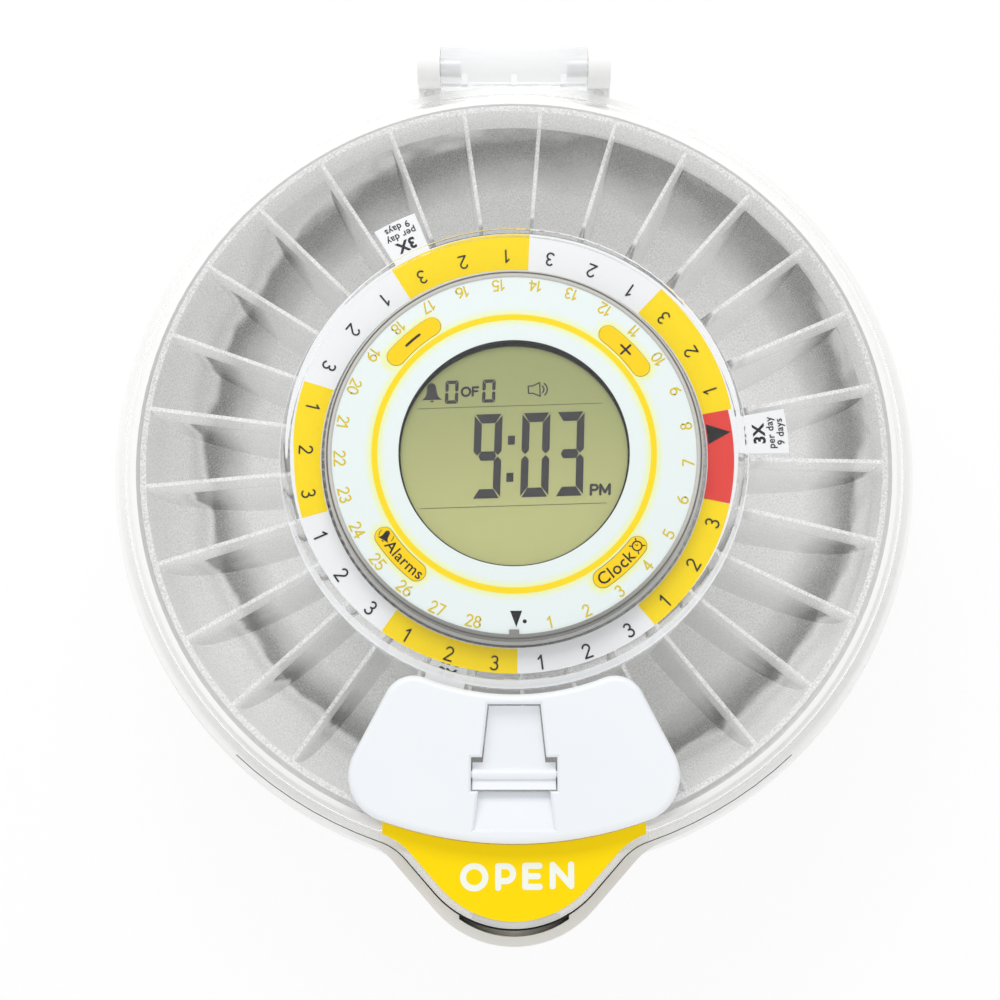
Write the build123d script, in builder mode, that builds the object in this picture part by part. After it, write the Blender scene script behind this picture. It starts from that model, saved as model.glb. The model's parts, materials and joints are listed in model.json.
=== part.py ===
"""Automatic pill dispenser: a round tub with a 29-cell carousel, a clear hinged lid and a central clock.

Millimetres. +X is to the right, +Y towards the hinge at the back, +Z up, and the rubber feet stand on Z = 0.
The origin is under the middle of the whole outline; the carousel turns about a vertical axis that lies
AXIS_Y behind it, because the spout at the front reaches further out than the hinge at the back.
Heights are counted from the table, radii from the carousel's axis.
"""

from math import cos, hypot, pi, radians, sin, sqrt, tan
import os

from build123d import *

# ---------------------------------------------------------------- driving dimensions

# Base tub: outline and heights
FOOT_PROUD = 1.5  # how far the rubber feet lift the base off the table
FLOOR_T = 2.5  # floor of the tub
BASE_WALL = 2.6  # side wall of the tub
BASE_RIM_Z = 45.5  # ledge that the lid closes on
RIM_R = 96.8  # outline radius at that ledge
SPOUT_OUT = 16.9  # how far the spout's tip stands out from that circle
RIM_NOSE_R = 24.5  # rounding of the spout tip
GIRTH_Z = 30.0  # fullest height of the tub: wider all round, but less far out at the spout
GIRTH_SWELL = 1.4
GIRTH_BACK = 0.9
WAIST_Z = 13.0  # where the side starts to tuck in to the bottom
WAIST_IN = 2.2
WAIST_BACK = 6.7
BOTTOM_IN = 9.8  # how far the underside's outline stays inside the rim's
BOTTOM_BACK = 18.7
FLANK_ANGLE = 48.0  # slope of the spout's flanks in plan
FLANK_FILLET = 14.0  # hollow rounding between spout and circle
RIM_FLANGE_T = 2.5  # inward flange under the ledge
TONGUE_H = 4.0  # upstand that the lid's skirt drops over
TONGUE_T = 1.3
TONGUE_GAP = 1.0  # air between the upstand and the lid's skirt
SPOUT_SOLID = 10.0  # thickness of the spout's nose
FINGER_W = 25.2  # finger well under the lid's lip
FINGER_DEEP = 5.0
FINGER_WALL = 2.2
FINGER_UNDER = 3.0  # how far the well reaches in under the lip

# Carousel tray
CELLS = 29  # 28 doses and the empty place at the outlet
TRAY_ANGLE = -1.17  # a divider stands at this angle from +X when the tray is at rest
TRAY_TOP = 51.0
TRAY_DEPTH = 43.0
TRAY_ROOM = 1.3  # air between the tray and the upstand of the base
TRAY_WALL = 1.4
CELL_INNER_R = 56.0
DIVIDER_T = 0.9
DECK_T = 2.0  # shelf round the clock that carries the dose ring
RUN_GAP = 0.3  # air between parts that slide over each other
SEAT = 0.02  # air between parts that sit tight on each other
SHAFT_GAP = 0.05  # radial air of a shaft in its hole

# Dose ring
DOSE_T = 1.0
DOSE_EDGE = 0.6  # how far it stays inside the edges of its shelf
TAB_LEN = 9.9  # reach of a tab over its compartment
TAB_HALF_ANGLE = 4.8
TAB_CELLS = (0, 9, 20)  # compartments that the three tabs point into

# Drive
TOOTH_MODULE = 0.8
RING_TEETH = 116  # four to a compartment
PINION_TEETH = 26
RING_GEAR_T = 5.2
RING_GEAR_RIM = 3.0
PINION_T = 3.4
PINION_RISE = 0.5  # air between the bracket and the pinion
TOOTH_THIN = 0.12  # taken off each flank for backlash
ROOT_ROOM = 0.2  # air between a tooth's tip and the other wheel's root
SHAFT_R = 1.5
SHAFT_IN = 7.5  # how far the output shaft reaches into the gearmotor
MOTOR_X, MOTOR_Y, MOTOR_H = 12.0, 10.0, 24.0
MOTOR_TOP = 41.8
GEARBOX_H = 9.0
MOTOR_SCREW_X = 4.5
BRACKET_T = 1.5
BRACKET_X, BRACKET_Y = 31.4, 8.0
BRACKET_AT = 34.5
BRACKET_POST = (13.5, 33.5)

# Clock tower in the middle
TOWER_IN_RING = 1.4  # air between the tower and the tips of the ring gear
TOWER_WALL = 2.2
COLLAR_GAP = 0.1  # the tray is centred on the tower's collar
SHELF_Z = 20.6
SHELF_T = 1.6
FACE_Z = 54.4  # top of the clock face
FACE_T = 1.6
BEZEL_W = 1.65
BEZEL_OVER = 0.8  # how far the bezel stands out over the tower
BEZEL_PROUD = 0.4
BEZEL_EDGE = 0.3
BEZEL_TAB_W, BEZEL_TAB_L = 2.3, 2.4
WINDOW_R = 27.5
LENS_T = 1.2
LENS_SUNK = 0.2
LCD_SIZE = 57.0
LCD_CORNER = 10.3
LCD_T = 2.2
LCD_GAP = 0.2  # air between the display and the face above it
BOARD_GAP = 0.6  # air between the board and the tower's wall
BOARD_T = 1.6
KEY_MID_R = 36.7  # curved keys: middle radius, half width, half sweep of the middle line
KEY_HALF_W = 2.2
KEY_SWEEP = 8.8
KEY_PROUD = 0.15
KEY_TRAVEL = 0.4
KEY_GAP = 0.12
KEY_LIP = 0.5
KEY_ANGLES = {"plus_button": 43.0, "minus_button": 131.7, "alarms_button": 222.7, "clock_button": 313.1}
POST_R = 2.6
POST_IN = 3.8  # how far the posts' middles stay inside the tower's wall
SWITCH_X, SWITCH_Y, SWITCH_T, SWITCH_STEM_R = 3.4, 6.0, 1.0, 1.0
CHIP_X, CHIP_Y, CHIP_SIZE, CHIP_T = -19.0, 8.0, 10.0, 1.4
SOCKET_X, SOCKET_Y, SOCKET_W, SOCKET_L, SOCKET_T = 18.0, -8.0, 8.0, 12.0, 6.0
CAN_X, CAN_Y, CAN_R, CAN_H = 20.0, 12.0, 3.0, 7.0
LAMP_X, LAMP_Y, LAMP_SIZE, LAMP_T = -25.5, -25.5, 5.0, 3.0
SCREW_R = 0.9
SCREW_HEAD_R = 1.8
SCREW_HEAD_T = 1.2
SCREW_LEN = 6.0
SMALL_SCREW_R, SMALL_HEAD_R, SMALL_HEAD_T, SMALL_SCREW_LEN = 0.8, 1.4, 0.8, 4.0
BUZZER_R = 11.0
BUZZER_T = 5.0
BUZZER_Y = -15.0
BUZZER_HOLE_R, BUZZER_HOLE_DEEP = 1.2, 1.5

# Batteries
CELL_R = 7.25
CELL_LEN = 49.2
NUB_R, NUB_H = 2.75, 1.3
CELL_PITCH = 15.2
CELL_COUNT = 4
HOLDER_WALL = 1.2
HOLDER_CORNER = 4.0
SPRING_ROOM = 3.4
CONTACT_T = 0.4
CONTACT_W, CONTACT_H = 8.0, 9.0
DOOR_T = 1.8
DOOR_LAP = 3.0  # ledge that the battery door lies on
DOOR_TONGUE = 5.0  # extra length of the door for its screw
DOOR_TONGUE_W = 14.0
DOOR_GRIPS = 4

# Feet and long screws
FOOT_R = 7.0
FOOT_SUNK = 1.0
FOOT_EDGE = 0.6
FOOT_IN = 17.0  # how far the feet's middles stay inside the underside's outline
LONG_SCREW_R = 1.5
LONG_HEAD_R = 2.8
LONG_HEAD_T = 1.6
LONG_SCREW_LEN = 11.0
BOSS_R = 4.2
BOSS_H = 12.0
DOOR_BOSS_H = 5.0
RECESS_W, RECESS_DEEP = 0.5, 0.5  # cross recess of every screw head

# Lid
LID_GAP = 0.9  # air between the dividers and the lid
LID_T = 1.9
LID_IN = 1.8  # step between the lid's outline and the ledge it closes on
LIP_IN = 4.5  # the same step at the spout's tip
LID_SHOULDER = 4.2
LID_LIP_EDGE = 1.0
DOME_RISE_IN = 1.5  # how much narrower the raised centre is at its top
DOME_H = 6.0
DOME_EDGE = 1.2
LABEL_INSET = 1.6
LABEL_HALF_W = 30.6
LABEL_T = 0.7
LABEL_SUNK = 0.5
SPOUT_OVER = 17.0  # how far the lid's spout is carried on inside its circle

# Outlet panel and flap
PANEL_ANGLE = 27.3  # half angle of the white panel
PANEL_GAP_IN = 1.4  # between the dome's foot and the panel
PANEL_GAP_OUT = 0.2  # between the panel and the label
PANEL_H = 4.2
PANEL_TOP_T = 1.6
PANEL_WALL = 2.0
PANEL_FRAME = 2.2  # wall round the window
PANEL_CORNER_IN = 7.0
PANEL_CORNER_OUT = 10.5
PANEL_EDGE = 1.6
PANEL_END_OUT = 3.1  # panel left beyond the window's outer end
OUTLET_W_IN = 6.05  # half widths of the window at its two ends
OUTLET_W_OUT = 9.1
OUTLET_EDGE = 0.5
EAR_L, EAR_W = 7.6, 9.8
EAR_TO_END = 8.5  # from the ears to the window's outer end
EAR_ROOM = 0.8  # extra air in front of the flap's ears, so that they can turn
RAMP_LOW, RAMP_HIGH = 0.8, 3.4  # floor of the window's outer part, above the lid
RAMP_IN = 0.5  # how far the ramp is carried on into the panel's wall
LEDGE_IN, LEDGE_OUT = 1.5, 0.3  # lid left under the window's inner end, and cut away beyond its ears
FLAP_T = 1.5
FLAP_GAP = 0.35
FLAP_IN_Z, FLAP_MID_Z, FLAP_OUT_Z = 1.8, 1.2, 3.2  # its top above the lid: inner end, middle, tail
PIVOT_RISE = 2.3
PIVOT_BAR_R = 1.2
FLAP_PIN_R = 0.8
FLAP_PIN_IN = 1.1

# Hinge
HINGE_OUT = 4.2  # how far the hinge's axis stands outside the rim
HINGE_Z = 49.0
BARREL_R = 5.0
BARREL_HALF = 18.4
EAR_GAP = 0.3
EAR_T = 5.6
EAR_ROUND = 5.3
PIN_R = 2.2
PIN_IN = 4.8  # how deep a pin reaches into the barrel
EAR_SKIN = 0.8  # end wall of the ear's blind hole
WEB_T = 3.2
WEB_RIBS = (-12.4, 0.0, 12.4)
RIB_T = 1.4
HINGE_BLOCK_L = 7.6  # from the block's front to the hinge's axis
HINGE_BLOCK_H = 1.1
DIMPLE_R, DIMPLE_DEEP = 1.3, 0.6

# ---------------------------------------------------------------- derived places

RIM_REACH = RIM_R + SPOUT_OUT
HINGE_Y = RIM_R + HINGE_OUT
BACK_REACH = HINGE_Y + EAR_ROUND
HINGE_BLOCK_Y = HINGE_Y - HINGE_BLOCK_L
DIMPLE_Y = HINGE_BLOCK_Y + DIMPLE_R + 0.2
AXIS_Y = (RIM_REACH - BACK_REACH) / 2
LID_R = RIM_R - LID_IN
LID_REACH = RIM_REACH - LIP_IN
LID_NOSE_R = RIM_NOSE_R - LID_IN / 4
BOTTOM_R = RIM_R - BOTTOM_IN
TRAY_AXIS = Axis((0, AXIS_Y, 0), (0, 0, 1))
SECTION = Plane((0, AXIS_Y, 0), x_dir=(1, 0, 0), z_dir=(0, -1, 0))
SIDE = Plane((0, AXIS_Y, 0), x_dir=(0, 1, 0), z_dir=(1, 0, 0))
UP = (Align.CENTER, Align.CENTER, Align.MIN)
DOWN = (Align.CENTER, Align.CENTER, Align.MAX)

FLOOR_TOP = FOOT_PROUD + FLOOR_T
TUB_MOUTH_R = LID_R - LID_T - TONGUE_GAP - TONGUE_T
TRAY_R = TUB_MOUTH_R - TRAY_ROOM
PITCH = 360 / CELLS
TRAY_FLOOR = TRAY_TOP - TRAY_DEPTH
TRAY_BOTTOM = TRAY_FLOOR - TRAY_WALL
RIM_INNER_R = TRAY_R - TRAY_WALL
SCOOP_R = RIM_INNER_R - CELL_INNER_R
SCOOP_Z = TRAY_FLOOR + SCOOP_R
DECK_TOP = TRAY_TOP - DOSE_T - 0.2
DECK_BOTTOM = DECK_TOP - DECK_T
RING_PITCH_R = RING_TEETH * TOOTH_MODULE / 2
PINION_PITCH_R = PINION_TEETH * TOOTH_MODULE / 2
PINION_TIP_R = PINION_PITCH_R + TOOTH_MODULE
MOTOR_R = RING_PITCH_R - PINION_PITCH_R
RING_TIP_R = RING_PITCH_R - TOOTH_MODULE
RING_ROOT_R = RING_PITCH_R + TOOTH_MODULE + ROOT_ROOM
DOSE_INNER_R = RING_TIP_R + DOSE_EDGE
DOSE_OUTER_R = CELL_INNER_R - DOSE_EDGE
TAB_REACH = CELL_INNER_R + TAB_LEN
TOWER_R = RING_TIP_R - TOWER_IN_RING
BEZEL_R = TOWER_R + BEZEL_OVER
FACE_R = BEZEL_R - BEZEL_W
COLLAR_R = RING_TIP_R - COLLAR_GAP
COLLAR_Z = DECK_BOTTOM + COLLAR_GAP
BRACKET_Z = MOTOR_TOP + SEAT
PINION_Z = BRACKET_Z + BRACKET_T + PINION_RISE
WALL_TOP = FACE_Z - FACE_T
TOWER_IN = TOWER_R - TOWER_WALL
BOARD_R = TOWER_IN - BOARD_GAP
POST_CIRCLE_R = TOWER_IN - POST_IN
BOARD_TOP = WALL_TOP - LCD_GAP - LCD_T - SEAT
BOARD_Z = BOARD_TOP - BOARD_T
KEY_FLANGE_Z = WALL_TOP - 0.1 - KEY_LIP
LID_UNDER = TRAY_TOP + LID_GAP
LID_TOP = LID_UNDER + LID_T
LID_SKIRT_Z = BASE_RIM_Z + RUN_GAP
LID_INNER_R = LID_R - LID_T
SHOULDER_R = LID_R - LID_SHOULDER
DOME_R = DOSE_OUTER_R + RUN_GAP + 0.2
PANEL_INNER_R = DOME_R + PANEL_GAP_IN
PANEL_OUTER_R = SHOULDER_R - PANEL_GAP_OUT
PANEL_TOP = LID_TOP + PANEL_H
OUTLET_IN = PANEL_INNER_R + PANEL_FRAME  # the window from its inner to its outer end, from the axis
OUTLET_OUT = PANEL_OUTER_R - PANEL_END_OUT
EAR_OUT = OUTLET_OUT - EAR_TO_END
EAR_IN = EAR_OUT - EAR_L
LID_WINDOW_IN, LID_WINDOW_OUT = OUTLET_IN + LEDGE_IN, EAR_OUT + LEDGE_OUT
PIVOT_R = (EAR_IN + EAR_OUT) / 2
FLAP_MID_R = (OUTLET_IN + EAR_OUT) / 2
PIVOT_Z = LID_TOP + PIVOT_RISE
HOLDER_X = CELL_COUNT * CELL_PITCH
HOLDER_Y = CELL_LEN + NUB_H + SPRING_ROOM + CONTACT_T
CELL_Z = FLOOR_TOP + CELL_R + 0.4
DOOR_X = HOLDER_X + 2 * DOOR_LAP
DOOR_Y = HOLDER_Y + 2 * DOOR_LAP
DOOR_SCREW_Y = -DOOR_Y / 2 - DOOR_TONGUE + 3

# ---------------------------------------------------------------- helpers


def level(height):
    """Horizontal plane at this height, centred on the carousel's axis."""
    return Plane((0, AXIS_Y, height))


def radial(angle):
    """Upright plane through the axis: its x runs outwards at this angle, its y is up."""
    a = radians(angle)
    return Plane((0, AXIS_Y, 0), x_dir=(cos(a), sin(a), 0), z_dir=(sin(a), -cos(a), 0))


def polar(radius, angle):
    """Point of a horizontal sketch at this radius and angle."""
    return radius * cos(radians(angle)), radius * sin(radians(angle))


def at(x, y, z):
    """Place in the part, with x and y counted from the carousel's axis."""
    return Location((x, AXIS_Y + y, z))


HUB_SCREW_AT = [polar(POST_CIRCLE_R, a) for a in (0, 90, 180)]
BOARD_POST_AT = [polar(POST_CIRCLE_R, a) for a in (0, 180, 270)]
BRACKET_POST_AT = [(side * BRACKET_POST[0], BRACKET_POST[1]) for side in (-1, 1)]
MOTOR_SCREW_AT = [(side * MOTOR_SCREW_X, MOTOR_R) for side in (-1, 1)]
FEET_AT = [polar(BOTTOM_R - FOOT_IN, a) for a in (45, 135, 225, 315)]


def spout_outline(radius, reach, nose, inset=0.0, back=None):
    """A circle with a rounded spout towards -Y, its flanks straight and hollow-filleted to the circle.

    An inset shrinks it on all sides. Given back, only the spout is drawn, to this distance from the axis.
    """
    radius, reach, nose, hollow_r = radius - inset, reach - inset, nose - inset, FLANK_FILLET + inset
    normal = (sin(radians(FLANK_ANGLE)), -cos(radians(FLANK_ANGLE)))
    along = (-normal[1], normal[0])
    offset = (reach - nose) * cos(radians(FLANK_ANGLE)) + nose
    run = -sqrt((radius + hollow_r) ** 2 - (offset + hollow_r) ** 2)
    hollow = [(offset + hollow_r) * n + run * a for n, a in zip(normal, along)]
    far = hypot(*hollow)
    nose_end = (nose * normal[0], -(reach - nose) + nose * normal[1])
    flank_end = tuple(offset * n + run * a for n, a in zip(normal, along))
    circle_end = tuple(h * radius / far for h in hollow)
    inward = [-(n + h / far) for n, h in zip(normal, hollow)]
    middle = tuple(h + hollow_r * i / hypot(*inward) for h, i in zip(hollow, inward))

    def left(point):
        return -point[0], point[1]

    with BuildLine() as edge:
        ThreePointArc(left(nose_end), (0, -reach), nose_end)
        Line(nose_end, flank_end)
        ThreePointArc(flank_end, middle, circle_end)
        if back:
            corner = (circle_end[0], -back)
            Polyline(circle_end, corner, left(corner), left(circle_end))
        else:
            ThreePointArc(circle_end, (0, radius), left(circle_end))
        ThreePointArc(left(circle_end), left(middle), left(flank_end))
        Line(left(flank_end), left(nose_end))
    make_face(edge.edges())


def spout_nose(reach, nose, back):
    """The spout alone: its rounded tip, and straight flanks carried on to this distance from the axis."""
    slope = radians(FLANK_ANGLE)
    end_x, end_y = nose * sin(slope), -(reach - nose) - nose * cos(slope)
    back_x = end_x + (-back - end_y) / tan(slope)
    with BuildLine() as edge:
        ThreePointArc((-end_x, end_y), (0, -reach), (end_x, end_y))
        Polyline((end_x, end_y), (back_x, -back), (-back_x, -back), (-end_x, end_y))
    make_face(edge.edges())


def sector(inner, outer, half_angle, middle_angle=-90):
    """Piece of a ring, symmetric about a direction."""
    start, end = middle_angle - half_angle, middle_angle + half_angle
    with BuildLine() as edge:
        CenterArc((0, 0), outer, start, 2 * half_angle)
        Line(polar(outer, end), polar(inner, end))
        CenterArc((0, 0), inner, start, 2 * half_angle)
        Line(polar(inner, start), polar(outer, start))
    make_face(edge.edges())


def key_outline(angle, half_width, mode=Mode.ADD):
    """Curved key: an arc about the clock's centre, thickened, with round ends."""
    start, end = angle - KEY_SWEEP, angle + KEY_SWEEP
    with BuildLine() as edge:
        CenterArc((0, 0), KEY_MID_R + half_width, start, 2 * KEY_SWEEP)
        CenterArc(polar(KEY_MID_R, end), half_width, end, 180)
        CenterArc((0, 0), KEY_MID_R - half_width, start, 2 * KEY_SWEEP)
        CenterArc(polar(KEY_MID_R, start), half_width, start + 180, 180)
    make_face(edge.edges(), mode=mode)


def gear_outline(teeth, tip_r, root_r, phase, mode=Mode.ADD):
    """Straight-flanked teeth, pointing out or in; the first one is centred on the phase angle."""
    pitch_r = teeth * TOOTH_MODULE / 2
    outward = 1 if tip_r > root_r else -1
    points = []
    for tooth in range(teeth):
        middle = radians(phase) + tooth * 2 * pi / teeth
        for radius, side in ((root_r, -1), (tip_r, -1), (tip_r, 1), (root_r, 1)):
            slant = outward * (pitch_r - radius) * tan(radians(20))
            half = side * (TOOTH_MODULE * pi / 4 - TOOTH_THIN + slant) / radius
            points.append((radius * cos(middle + half), radius * sin(middle + half)))
    with BuildLine() as edge:
        Polyline(*points, close=True)
    make_face(edge.edges(), mode=mode)


def outlet_outline(inner, outer, gap=0.0, ear_room=0.0, ears=True, mode=Mode.ADD):
    """Wedge over one compartment from radius inner to outer, shrunk by a gap, with an ear at each side."""

    def half_width(distance):
        share = (distance - OUTLET_IN) / (OUTLET_OUT - OUTLET_IN)
        return OUTLET_W_IN + share * (OUTLET_W_OUT - OUTLET_W_IN) - gap

    near, far, ear = inner + gap, outer - gap, EAR_IN + gap + ear_room
    right = [(half_width(near), -near), (half_width(far), -far)]
    if ears:
        right[1:] = [(half_width(ear), -ear), (EAR_W - gap, -ear), (EAR_W - gap, -far)]
    with BuildLine() as edge:
        Polyline(*right, *[(-x, y) for x, y in reversed(right)], close=True)
    make_face(edge.edges(), mode=mode)


def label_outline(inset):
    """Field for the label: the lid's spout, shrunk by an inset, outside the panel and between two cut ends."""
    spout_outline(LID_R, LID_REACH, LID_NOSE_R, inset, SPOUT_BACK)
    Circle(SHOULDER_R + inset - LABEL_INSET, mode=Mode.SUBTRACT)
    with Locations((0, -RIM_REACH)):
        Rectangle(2 * (LABEL_HALF_W + LABEL_INSET - inset), RIM_REACH, mode=Mode.INTERSECT)


def door_outline(gap=0.0):
    """Battery door: a rectangle with a tongue for its screw."""
    Rectangle(DOOR_X - 2 * gap, DOOR_Y - 2 * gap)
    with Locations((0, -DOOR_Y / 2)):
        Rectangle(DOOR_TONGUE_W - 2 * gap, 2 * (DOOR_TONGUE - gap))


def screw(head_r, head_t, shank_r, length):
    """Pan-head screw, shank down, with its head's underside at the present place."""
    Cylinder(head_r, head_t, align=UP)
    Cylinder(shank_r, length, align=DOWN)
    for width, depth in ((RECESS_W, 1.3 * head_r), (1.3 * head_r, RECESS_W)):
        with Locations((0, 0, head_t)):
            Box(width, depth, RECESS_DEEP, align=DOWN, mode=Mode.SUBTRACT)


# ---------------------------------------------------------------- base: the tub

SIDE_SECTIONS = [
    (FOOT_PROUD, BOTTOM_R, RIM_REACH - BOTTOM_BACK),
    (WAIST_Z, RIM_R - WAIST_IN, RIM_REACH - WAIST_BACK),
    (GIRTH_Z, RIM_R + GIRTH_SWELL, RIM_REACH - GIRTH_BACK),
    (BASE_RIM_Z, RIM_R, RIM_REACH),
]

CAVITY_SECTIONS = [
    (min(max(height, FLOOR_TOP), BASE_RIM_Z - RIM_FLANGE_T), radius - BASE_WALL, reach - SPOUT_SOLID)
    for height, radius, reach in SIDE_SECTIONS
]

with BuildPart() as tub_cavity:
    with BuildSketch(SECTION):
        with BuildLine():
            side = Spline(*[(radius, height) for height, radius, reach in CAVITY_SECTIONS])
            Polyline(side @ 1, (0, CAVITY_SECTIONS[-1][0]), (0, CAVITY_SECTIONS[0][0]), side @ 0)
        make_face()
    revolve(axis=TRAY_AXIS)
    for height, radius, reach in CAVITY_SECTIONS:
        with BuildSketch(level(height)):
            spout_nose(reach, RIM_NOSE_R - BASE_WALL, CELL_INNER_R)
    loft(ruled=True)

with BuildPart() as base_housing:
    for height, radius, reach in SIDE_SECTIONS:
        with BuildSketch(level(height)):
            spout_outline(radius, reach, RIM_NOSE_R)
    loft()
    add(tub_cavity.part, mode=Mode.SUBTRACT)
    with BuildSketch(level(BASE_RIM_Z)):
        Circle(TUB_MOUTH_R + TONGUE_T)
    extrude(amount=TONGUE_H)
    with BuildSketch(level(BASE_RIM_Z - RIM_FLANGE_T - 1)):
        Circle(TUB_MOUTH_R)
    extrude(amount=RIM_FLANGE_T + 1 + TONGUE_H, mode=Mode.SUBTRACT)
    # rail that carries the tray
    with BuildSketch(level(FLOOR_TOP)):
        Circle(CELL_INNER_R + 1)
        Circle(CELL_INNER_R - TRAY_WALL, mode=Mode.SUBTRACT)
    extrude(amount=TRAY_BOTTOM - RUN_GAP - FLOOR_TOP)
    # hinge ears, with the block in front of each
    for side in (-1, 1):
        with BuildSketch(SIDE.offset(side * (BARREL_HALF + EAR_GAP))):
            with Locations((HINGE_Y, HINGE_Z)):
                Circle(EAR_ROUND)
            with BuildLine():
                Polyline(
                    (BACK_REACH, HINGE_Z),
                    (BACK_REACH, BASE_RIM_Z - 2),
                    (RIM_R + GIRTH_SWELL, GIRTH_Z),
                    (RIM_R - BASE_WALL, GIRTH_Z + 4),
                    (HINGE_BLOCK_Y, BASE_RIM_Z - 3),
                    (HINGE_BLOCK_Y, BASE_RIM_Z + HINGE_BLOCK_H),
                    (HINGE_Y - EAR_ROUND + 0.6, BASE_RIM_Z + HINGE_BLOCK_H),
                    (HINGE_Y - EAR_ROUND + 0.6, HINGE_Z),
                    close=True,
                )
            make_face()
        extrude(amount=side * EAR_T)
    ear_end = BARREL_HALF + EAR_GAP + EAR_T
    with BuildSketch(SIDE.offset(-ear_end + EAR_SKIN)):
        with Locations((HINGE_Y, HINGE_Z)):
            Circle(PIN_R + SEAT)
    extrude(amount=2 * (ear_end - EAR_SKIN), mode=Mode.SUBTRACT)
    dimple_x = ear_end - EAR_T / 2
    with BuildSketch(level(BASE_RIM_Z + HINGE_BLOCK_H)):
        with Locations((-dimple_x, DIMPLE_Y), (dimple_x, DIMPLE_Y)):
            Circle(DIMPLE_R)
    extrude(amount=-DIMPLE_DEEP, mode=Mode.SUBTRACT)
    # finger well at the spout's tip
    with BuildSketch(level(BASE_RIM_Z)):
        spout_outline(RIM_R, RIM_REACH, RIM_NOSE_R, FINGER_WALL)
        with Locations((0, -LID_REACH + FINGER_UNDER - SPOUT_SOLID)):
            Rectangle(FINGER_W, 2 * SPOUT_SOLID, mode=Mode.INTERSECT)
    extrude(amount=-FINGER_DEEP, mode=Mode.SUBTRACT)
    # battery opening, the recess for its door, and the boss for the door's screw
    with BuildSketch(level(FLOOR_TOP)):
        with Locations((0, DOOR_SCREW_Y)):
            Circle(2 * SCREW_R + SCREW_R)
    extrude(amount=DOOR_BOSS_H)
    with BuildSketch(level(FOOT_PROUD)):
        Rectangle(HOLDER_X, HOLDER_Y)
    extrude(amount=FLOOR_T, mode=Mode.SUBTRACT)
    with BuildSketch(level(FOOT_PROUD)):
        door_outline()
    extrude(amount=DOOR_T, mode=Mode.SUBTRACT)
    with BuildSketch(level(FOOT_PROUD)):
        with Locations((0, DOOR_SCREW_Y)):
            Circle(SCREW_R + SEAT)
    extrude(amount=FLOOR_T + DOOR_BOSS_H - 0.2, mode=Mode.SUBTRACT)
    # counterbores for the tower's screws, and recesses for the feet
    with BuildSketch(level(FOOT_PROUD)):
        with Locations(*HUB_SCREW_AT):
            Circle(LONG_HEAD_R + SHAFT_GAP)
    extrude(amount=LONG_HEAD_T, mode=Mode.SUBTRACT)
    with BuildSketch(level(FOOT_PROUD)):
        with Locations(*HUB_SCREW_AT):
            Circle(LONG_SCREW_R + SEAT)
    extrude(amount=FLOOR_T, mode=Mode.SUBTRACT)
    with BuildSketch(level(FOOT_PROUD)):
        with Locations(*FEET_AT):
            Circle(FOOT_R + SHAFT_GAP)
    extrude(amount=FOOT_SUNK, mode=Mode.SUBTRACT)

with BuildPart() as rubber_feet:
    with BuildSketch(level(0)):
        with Locations(*FEET_AT):
            Circle(FOOT_R - FOOT_EDGE)
    extrude(amount=FOOT_EDGE)
    with BuildSketch(level(FOOT_EDGE)):
        with Locations(*FEET_AT):
            Circle(FOOT_R)
    extrude(amount=FOOT_PROUD + FOOT_SUNK - SEAT - FOOT_EDGE)

with BuildPart() as hinge_pins:
    for side in (-1, 1):
        with BuildSketch(SIDE.offset(side * (BARREL_HALF - PIN_IN))):
            with Locations((HINGE_Y, HINGE_Z)):
                Circle(PIN_R)
        extrude(amount=side * (PIN_IN + EAR_GAP + EAR_T - EAR_SKIN - 0.2))

# ---------------------------------------------------------------- base: battery compartment

with BuildPart() as battery_holder:
    with BuildSketch(level(FLOOR_TOP + SEAT)):
        Rectangle(HOLDER_X + 2 * HOLDER_WALL, HOLDER_Y + 2 * HOLDER_WALL)
        chamfer(vertices(), HOLDER_CORNER)
    extrude(amount=SHELF_Z - FLOOR_TOP - 2 * SEAT)
    with BuildSketch(SECTION.offset(HOLDER_Y / 2)):
        with GridLocations(CELL_PITCH, 1, CELL_COUNT, 1):
            with Locations((0, CELL_Z)):
                Circle(CELL_R + SHAFT_GAP)
            with Locations((0, CELL_Z / 2)):
                Rectangle(2 * (CELL_R + SHAFT_GAP), CELL_Z)
    extrude(amount=-HOLDER_Y, mode=Mode.SUBTRACT)

CELL_X = [(i - (CELL_COUNT - 1) / 2) * CELL_PITCH for i in range(CELL_COUNT)]
CELL_TURN = [1 if i % 2 else -1 for i in range(CELL_COUNT)]  # the nub points to +Y or to -Y
CELL_START = HOLDER_Y / 2 - CONTACT_T - SEAT - NUB_H - CELL_LEN

with BuildPart() as batteries:
    for x, turn in zip(CELL_X, CELL_TURN):
        for start, length, radius in ((CELL_START, CELL_LEN, CELL_R), (CELL_START + CELL_LEN, NUB_H, NUB_R)):
            with BuildSketch(SECTION.offset(-turn * start)):
                with Locations((x, CELL_Z)):
                    Circle(radius)
            extrude(amount=-turn * length)

with BuildPart() as battery_contacts:
    for x, turn in zip(CELL_X, CELL_TURN):
        with Locations(at(x, turn * (HOLDER_Y - CONTACT_T) / 2, CELL_Z)):
            Box(CONTACT_W, CONTACT_T, CONTACT_H)
        wall = -turn * (HOLDER_Y - CONTACT_T) / 2
        touch = turn * (CELL_START - SEAT - CONTACT_T / 2)
        with BuildSketch(SIDE.offset(x - CONTACT_W / 4)):
            with BuildLine():
                ThreePointArc(
                    (wall, CELL_Z - CONTACT_H / 2), (touch, CELL_Z), (wall, CELL_Z + CONTACT_H / 2)
                )
            trace(line_width=CONTACT_T)
        extrude(amount=CONTACT_W / 2)

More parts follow.
